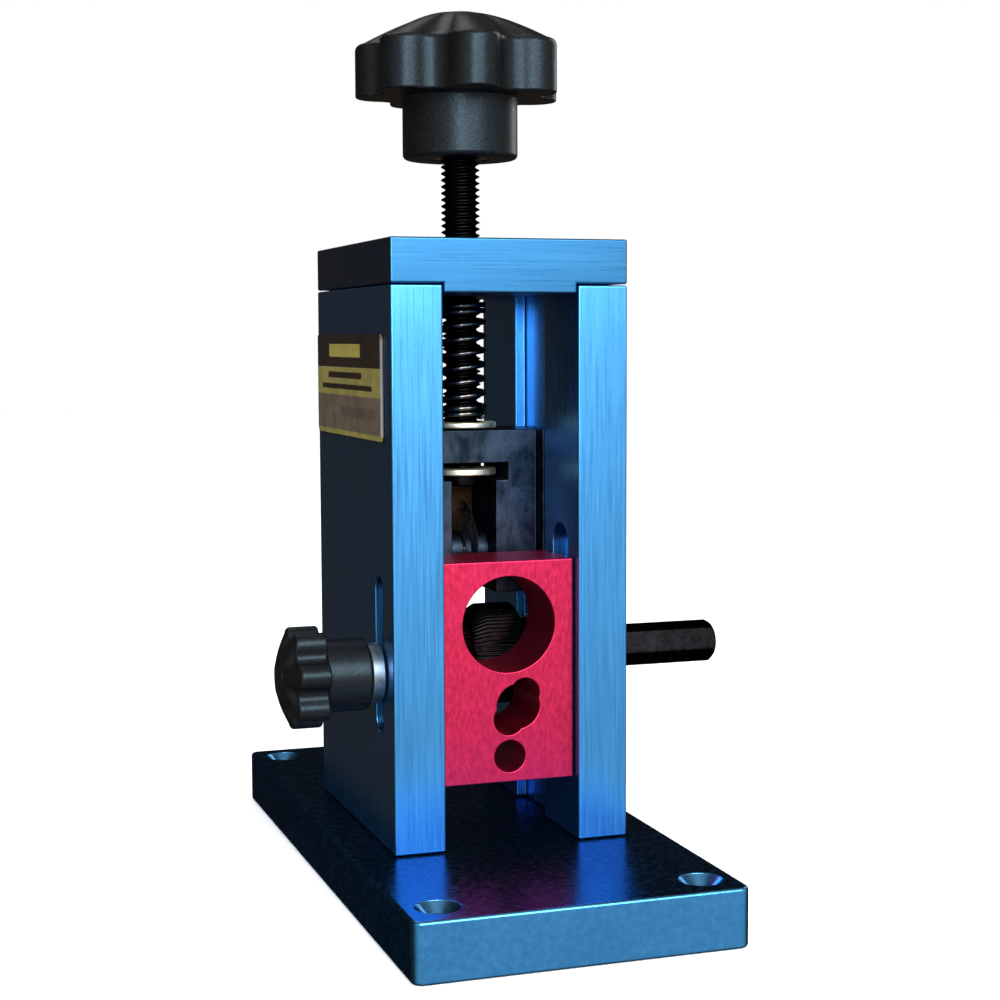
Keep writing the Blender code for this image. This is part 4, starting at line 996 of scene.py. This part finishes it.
def grub_rows(low, high, diameter, pitch):
    """A threaded set screw with a hexagon socket, from its cup point at low."""
    radius = diameter / 2
    socket = hexagon(radius)
    depth = 0.45 * (high - low)
    rows = [(low + 0.15 * MM, 0.3 * radius), (low, 0.55 * radius)]
    rows += thread_rows(low + 0.1 * MM, high, radius, pitch, 8)
    return rows + [(high, shrunk(socket, -0.05 * MM)), (high - 0.05 * MM, socket), (high - depth, socket)]


# ---- blade carriage ----
def make_carriage():
    front = DRIVE_Y - CARRIAGE_DEPTH / 2
    tongue = CARRIAGE_HIGH.x
    tongue_front = CARRIAGE_LOW.y
    tongue_back = GROOVE_Y + GROOVE_WIDTH - GAP
    right = [
        (BODY_X, front),
        (BODY_X, tongue_front),
        (tongue, tongue_front),
        (tongue, tongue_back),
        (BODY_X, tongue_back),
        (BODY_X, CARRIAGE_HIGH.y),
    ]
    outline = right + [(-x, y) for x, y in reversed(right)]
    mesh = prism("blade_carriage", outline, CARRIAGE_LOW.z, CARRIAGE_HIGH.z)
    reach = CARRIAGE_DEPTH / 2 + CUT_PAST
    blocks = []
    for width, low, high in (
        (WINDOW_WIDTH, CARRIAGE_LOW.z - CUT_PAST, T_SLOT_FLOOR_Z + 1.0 * MM),
        (T_SLOT_WIDTH, T_SLOT_FLOOR_Z, T_SLOT_TOP_Z),
    ):
        corner = (-width / 2, DRIVE_Y - reach, low)
        blocks.append(box_mesh("cut", corner, (width / 2, DRIVE_Y + reach, high)))
    mesh = round_edges(carve(mesh, blocks), 0.3 * MM)
    hole = SCREW_DIAMETER / 2 + GAP
    rows = hole_rows(T_SLOT_TOP_Z, CARRIAGE_HIGH.z, hole, 0.2 * MM, 1.0 * MM)
    cutters = [drill(rows, 72, (0, DRIVE_Y, 0))]
    rows = hole_rows(-tongue, tongue, half_height("blade_axle") + GAP, 0.25 * MM)
    cutters.append(drill(rows, 64, (0, DRIVE_Y, AXLE_Z), ALONG_X))
    seat = (middle("axle_set_screw").x, DRIVE_Y, AXLE_Z)
    hole = AXLE_SET_SCREW["diameter"] / 2 + GAP
    half, edge = CARRIAGE_DEPTH / 2, 0.2 * MM
    rows = [(0, hole), (half - edge, hole), (half, hole + edge), (half + CUT_PAST, hole + edge)]
    cutters.append(drill(rows, 40, seat, ALONG_Y))
    mesh = carve(mesh, cutters)
    add_node("blade_carriage", mesh, DARK_STEEL, "carriage", "dark_steel")
    low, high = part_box("axle_set_screw")
    rows = grub_rows(low.y - DRIVE_Y, high.y - DRIVE_Y, **AXLE_SET_SCREW)
    mesh = placed(lathe("grub", rows, 48), seat, ALONG_Y)
    add_node("axle_set_screw", mesh, OXIDE, "carriage", "black_oxide")


def make_blade_guard():
    """The thin plate behind the carriage's window, slit for the blade's rim."""
    low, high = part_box("blade_guard")
    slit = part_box("circular_blade")[1].x + GUARD_BESIDE_BLADE
    radius = half_height("circular_blade")
    rim = AXLE_Z + math.sqrt(radius**2 - (low.y - DRIVE_Y) ** 2)
    slit_top = rim + GUARD_OVER_BLADE
    cutter = box_mesh("cut", (-slit, low.y - CUT_PAST, low.z - CUT_PAST), (slit, high.y + CUT_PAST, slit_top))
    mesh = round_edges(carve(box_mesh("blade_guard", low, high), [cutter]), 0.15 * MM, 2)
    # the guard's colour carries painted shade and painted brown reflection
    add_node("blade_guard", mesh, GUARD_OXIDE_AND_SHADE, "carriage", "black_oxide")


def make_blade():
    place = (0, DRIVE_Y, AXLE_Z)
    low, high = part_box("blade_axle")
    radius = half_height("blade_axle")
    mesh = placed(lathe("blade_axle", round_bar(low.x, high.x, radius, 0.5 * MM), 72), place, ALONG_X)
    add_node("blade_axle", mesh, BRIGHT, "carriage", "bright_steel")

    outside, half = half_height("circular_blade"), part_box("circular_blade")[1].x
    bore = radius + GAP
    edge, chamfer = 0.05 * MM, 0.2 * MM
    rows = [
        (-half, bore + chamfer),
        (-half, outside - BLADE_BEVEL),
        (-edge, outside - 0.06 * MM),
        (0, outside),
        (edge, outside - 0.06 * MM),
        (half, outside - BLADE_BEVEL),
        (half, bore + chamfer),
        (half - chamfer, bore),
        (chamfer - half, bore),
    ]
    mesh = placed(lathe("circular_blade", rows, 144, ring=True), place, ALONG_X)
    add_node("circular_blade", mesh, BRIGHT, "blade", "bright_steel", smooth=12)

    for node in ("left_blade_spacer", "right_blade_spacer"):
        low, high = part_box(node)
        rows = round_washer(low.x, high.x, half_height(node), bore, 0.25 * MM)
        mesh = placed(lathe(node, rows, 72, ring=True), place, ALONG_X)
        add_node(node, mesh, DARK_STEEL, "carriage", "dark_steel")


# ---- adjuster ----
def make_adjuster():
    low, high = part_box("adjuster_screw")
    axis = (0, DRIVE_Y, 0)
    screw, neck = SCREW_DIAMETER / 2, SCREW_NECK_DIAMETER / 2
    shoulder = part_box("retaining_washer")[1].z + GAP
    rows = edge_rows(low.z, neck, 0.4 * MM, UPWARD, INWARD)
    rows += [(shoulder, neck)]
    rows += thread_rows(shoulder, high.z, screw, SCREW_PITCH)
    mesh = placed(lathe("adjuster_screw", rows, 56), axis)
    add_node("adjuster_screw", mesh, OXIDE, "adjuster", "black_oxide", smooth=60)

    for node, material, slot, body, hole, edge in (
        ("spring_seat_washer", ZINC, "zinc", "carriage", screw + GAP, 0.35 * MM),
        ("retaining_washer", ZINC, "zinc", "adjuster", neck + GAP, 0.35 * MM),
        ("retaining_nut", OXIDE, "black_oxide", "adjuster", neck + GAP, 0.3 * MM),
        ("knob_insert", BRASS, "brass", "adjuster", screw + GAP, 0.2 * MM),
    ):
        low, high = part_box(node)
        rows = round_washer(low.z, high.z, (high.x - low.x) / 2, hole, edge)
        mesh = placed(lathe(node, rows, 96, ring=True), axis)
        add_node(node, mesh, material, body, slot)


def knob_rows(knob, bore):
    """A moulded knob from its bore up: hub, fillet, fluted head with rounded rims, sloping top, cap."""
    hub, edge = knob["hub"] / 2, knob["edge"]
    head = lobed(*knob["lobes"])
    low = knob["hub_length"]
    high = low + knob["head_length"]
    top = high + knob["dome"]
    fillet = 0.6 * edge
    rows = [(knob["bore_depth"], bore), (0.3 * MM, bore), (0, bore + 0.3 * MM)]
    rows += [(into, hub - off) for into, off in rounding(edge, 6)]
    rows += [(low - up, hub + out) for out, up in rounding(fillet)]
    rows += [(low + into, shrunk(head, off)) for into, off in rounding(min(edge, 0.55 * MM))]
    rim = 1.4 * edge
    rows += [(high - into, shrunk(head, off)) for into, off in reversed(rounding(rim, 6))]
    inner = shrunk(head, rim)
    steps = 14
    for i in range(1, steps + 1):
        share = 1 - i / steps
        rise = 1 - share**1.35
        rows.append((high + (top - high) * rise, mixed(inner, share, knob["cap"])))
    groove = 0.25 * MM
    rows += [
        (top - 0.05 * MM, knob["cap"] - groove),
        (top - groove, knob["cap"] - groove),
        (top - groove, knob["cap"] - 2 * groove),
        (top - 0.04 * MM, knob["cap"] - 2.2 * groove),
        (top, 0.5 * knob["cap"]),
    ]
    return rows


def make_knobs():
    rows = knob_rows(BIG_KNOB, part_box("knob_insert")[1].x + GAP)
    turn = Matrix.Rotation(BIG_KNOB_TURN, 4, "Z")
    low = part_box("adjuster_knob")[0]
    mesh = placed(lathe("adjuster_knob", rows, LOBE_COUNT * 32), (0, DRIVE_Y, low.z), turn)
    add_node("adjuster_knob", mesh, PLASTIC, "adjuster", "black_plastic", smooth=42)

    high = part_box("lock_knob")[1]
    rows = knob_rows(SMALL_KNOB, STUD_DIAMETER / 2 + GAP)
    turn = ALONG_MINUS_X @ Matrix.Rotation(SMALL_KNOB_TURN, 4, "Z")
    mesh = placed(lathe("lock_knob", rows, LOBE_COUNT * 32), (high.x, GUIDE_Y, LOCK_Z), turn)
    add_node("lock_knob", mesh, PLASTIC, "lock", "black_plastic", smooth=42)


def make_spring():
    """A coil that is closed at both ends, between the frame and the carriage; it rides on no body."""
    low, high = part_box("compression_spring")
    wire = SPRING_WIRE / 2
    radius = high.x - wire
    bottom, top = low.z + wire, high.z - wire
    closed = 2 * SPRING_CLOSED_TURNS
    open_turns = (top - bottom - closed * SPRING_CLOSED_PITCH) / SPRING_OPEN_PITCH
    turns = closed + open_turns
    steps = round(turns * 40)
    sides = 14

    def height(done):
        first = min(done, SPRING_CLOSED_TURNS)
        between = min(max(done - SPRING_CLOSED_TURNS, 0), open_turns)
        last = max(done - SPRING_CLOSED_TURNS - open_turns, 0)
        return bottom + (first + last) * SPRING_CLOSED_PITCH + between * SPRING_OPEN_PITCH

    loops = []
    for i in range(steps + 1):
        done = turns * i / steps
        a = math.tau * done
        z = height(done)
        from_end = min(i, steps - i) / steps * turns * math.tau * radius
        size = wire * math.sqrt(min(1.0, 0.35 + from_end / wire))
        loop = []
        for k in range(sides):
            b = math.tau * k / sides
            out = radius + size * math.cos(b)
            loop.append((out * math.cos(a), out * math.sin(a) + DRIVE_Y, z + size * math.sin(b)))
        loops.append(loop)
    mesh = loft("compression_spring", loops)
    spring = add_piece(
        "compression_spring_fine", mesh, SPRING_STEEL, None, "spring_steel", ["compression_spring"], smooth=60
    )
    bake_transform(spring)


# ---- wire guide and its lock ----
def make_guide():
    mesh = round_edges(box_mesh("guide_block", GUIDE_LOW, GUIDE_HIGH), 0.35 * MM)
    reach = (GUIDE_HIGH.y - GUIDE_LOW.y) / 2
    cutters = []
    for across, up, diameter in GUIDE_HOLES:
        rows = hole_rows(-reach, reach, diameter / 2, 0.22 * MM)
        place = (across, GUIDE_Y, GUIDE_LOW.z + up)
        cutters.append(drill(rows, 96, place, ALONG_Y))
    tapped = STUD_DIAMETER / 2 + GAP
    start = GUIDE_HIGH.x - STUD_IN_BLOCK - GAP
    rows = [(start, tapped), (GUIDE_HIGH.x - 0.3 * MM, tapped), (GUIDE_HIGH.x, tapped + 0.3 * MM)]
    rows.append((GUIDE_HIGH.x + CUT_PAST, tapped + 0.3 * MM))
    cutters.append(drill(rows, 48, (0, GUIDE_Y, LOCK_Z), ALONG_MINUS_X))
    key_low, key_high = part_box("guide_key")
    half, width = (key_high.z - key_low.z) / 2, key_high.y - key_low.y
    loops = []
    for depth in (key_low.x - GAP, INNER_X + CUT_PAST):
        loop = slot_loop(width + 2 * GAP, -half - GAP, half + GAP, depth)
        loops.append([(-y, x, z) for x, y, z in loop])
    cutters.append(placed(loft("cut", loops), (0, GUIDE_Y, LOCK_Z), ALONG_X))
    mesh = carve(mesh, cutters)
    add_node("guide_block", mesh, RED, "guide", "red_anodised")

    loops = []
    edge = 0.3 * MM
    rows = [(key_low.x + into, off) for into, off in rounding(edge)]
    rows += [(key_high.x - into, off) for into, off in reversed(rounding(edge))]
    for depth, off in rows:
        loop = slot_loop(width - 2 * off, off - half, half - off, depth)
        loops.append([(-y, x, z) for x, y, z in loop])
    mesh = placed(loft("guide_key", loops), (0, GUIDE_Y, LOCK_Z), ALONG_X)
    add_node("guide_key", mesh, BRIGHT, "guide", "bright_steel")


def make_lock():
    axis = (0, GUIDE_Y, LOCK_Z)
    low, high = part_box("lock_washer")
    outside = half_height("lock_washer")
    rows = round_washer(-high.x, -low.x, outside, STUD_DIAMETER / 2 + GAP, 0.35 * MM)
    mesh = placed(lathe("lock_washer", rows, 96, ring=True), axis, ALONG_MINUS_X)
    add_node("lock_washer", mesh, GREY, "lock_slider", "grey_steel")
    low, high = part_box("lock_stud")
    rows = thread_rows(-high.x, -low.x, STUD_DIAMETER / 2, STUD_PITCH)
    mesh = placed(lathe("lock_stud", rows, 48), axis, ALONG_MINUS_X)
    add_node("lock_stud", mesh, OXIDE, "lock", "black_oxide", smooth=60)


# ---- studio ----
def looking(azimuth, elevation):
    """The turn of what looks at the object from there: azimuth 0 is in front, 90 degrees at the right."""
    return Matrix.Rotation(azimuth, 4, "Z") @ Matrix.Rotation(math.pi / 2 - elevation, 4, "X")


def make_camera():
    data = bpy.data.cameras.new("photo_camera")
    data.lens = CAMERA_LENS
    data.sensor_width = CAMERA_SENSOR
    data.clip_start = 0.01
    data.clip_end = 20.0
    camera = bpy.data.objects.new("photo_camera", data)
    bpy.context.scene.collection.objects.link(camera)
    turn = looking(CAMERA_AZIMUTH, CAMERA_ELEVATION) @ Matrix.Rotation(CAMERA_ROLL, 4, "Z")
    camera.matrix_world = Matrix.Translation(CAMERA_PLACE) @ turn
    bpy.context.scene.camera = camera


def softbox(name, azimuth, elevation, distance, width, height, power):
    """A soft area light that looks at the object from that azimuth and elevation."""
    data = bpy.data.lights.new(name, "AREA")
    data.shape = "RECTANGLE"
    data.size = width
    data.size_y = height
    data.energy = power
    light = bpy.data.objects.new(name, data)
    bpy.context.scene.collection.objects.link(light)
    turn = looking(math.radians(azimuth), math.radians(elevation))
    light.matrix_world = Matrix.Translation(LIGHT_AIM) @ turn @ Matrix.Translation((0, 0, distance))
    light.visible_camera = False


def make_world():
    """A pale backdrop for the eye, and a dim studio with a bright front for reflections."""
    world = bpy.data.worlds.new("studio")
    bpy.context.scene.world = world
    world.use_nodes = True
    nodes = Nodes(world.node_tree)
    nodes.tree.nodes.clear()

    def ramp(value, from_low, from_high, to_low, to_high):
        return nodes.spread(value, from_low, from_high, to_low, to_high, "SMOOTHSTEP")

    def maths(operation, a, b):
        node = nodes.new("ShaderNodeMath")
        node.operation = operation
        for socket, value in zip(node.inputs, (a, b)):
            if isinstance(value, float):
                socket.default_value = value
            else:
                nodes.link(value, socket)
        return node.outputs["Value"]

    split = nodes.new("ShaderNodeSeparateXYZ")
    nodes.link(nodes.new("ShaderNodeTexCoord").outputs["Generated"], split.inputs["Vector"])
    front = ramp(split.outputs["Y"], -0.75, 0.25, 1.0, 0.0)
    above = ramp(split.outputs["Z"], -0.45, 0.25, 0.55, 1.0)
    overhead = ramp(split.outputs["Z"], 0.45, 0.95, 0.0, 0.05)
    seen = nodes.new("ShaderNodeLightPath")
    lighting = seen.outputs["Is Diffuse Ray"]
    strength = maths("ADD", maths("MULTIPLY", front, above), overhead)
    strength = maths("ADD", maths("MULTIPLY", strength, STUDIO_FRONT), STUDIO_DIM)
    strength = maths("ADD", strength, maths("MULTIPLY", lighting, PAPER_GLOW))
    studio = nodes.new("ShaderNodeBackground")
    colour = nodes.blend(maths("MAXIMUM", front, lighting), STUDIO_WARM, STUDIO_COOL)
    nodes.link(colour, studio.inputs["Color"])
    nodes.link(strength, studio.inputs["Strength"])
    backdrop = nodes.new("ShaderNodeBackground")
    backdrop.inputs["Color"].default_value = (1.0, 1.0, 1.0, 1.0)
    backdrop.inputs["Strength"].default_value = BACKDROP
    mix = nodes.new("ShaderNodeMixShader")
    nodes.link(seen.outputs["Is Camera Ray"], mix.inputs["Fac"])
    nodes.link(studio.outputs["Background"], mix.inputs[1])
    nodes.link(backdrop.outputs["Background"], mix.inputs[2])
    nodes.link(mix.outputs["Shader"], nodes.new("ShaderNodeOutputWorld").inputs["Surface"])


def make_floor():
    """A plain pale floor under the base plate."""
    angles = [math.tau * i / 64 for i in range(64)]
    shape = bmesh.new()
    shape.faces.new(
        [shape.verts.new((FLOOR_RADIUS * math.cos(a), FLOOR_RADIUS * math.sin(a), 0)) for a in angles]
    )
    floor = bpy.data.objects.new("floor", to_mesh("floor", shape))
    bpy.context.scene.collection.objects.link(floor)
    finish = Finish("floor_paper", 0.9, 0.0)
    cloud = finish.noise((3, 3, 3), detail=2.0)
    finish.colour(finish.blend(cloud, (0.90, 0.90, 0.90), (0.93, 0.93, 0.93)))
    floor.data.materials.append(finish.material)
    floor.location.z = BASE_LOW.z - 0.1 * MM
    floor.visible_glossy = False


def make_studio():
    make_camera()
    make_world()
    make_floor()
    for name, setting in LIGHTS.items():
        softbox(name, *setting)
    bpy.context.scene.view_settings.view_transform = "Standard"


make_studio()
make_base()
make_side_plate(-1)
make_side_plate(1)
make_top_plate()
make_frame_screws()
make_bushes()
make_label()
make_drive()
make_roller()
make_carriage()
make_blade_guard()
make_blade()
make_adjuster()
make_knobs()
make_spring()
make_guide()
make_lock()
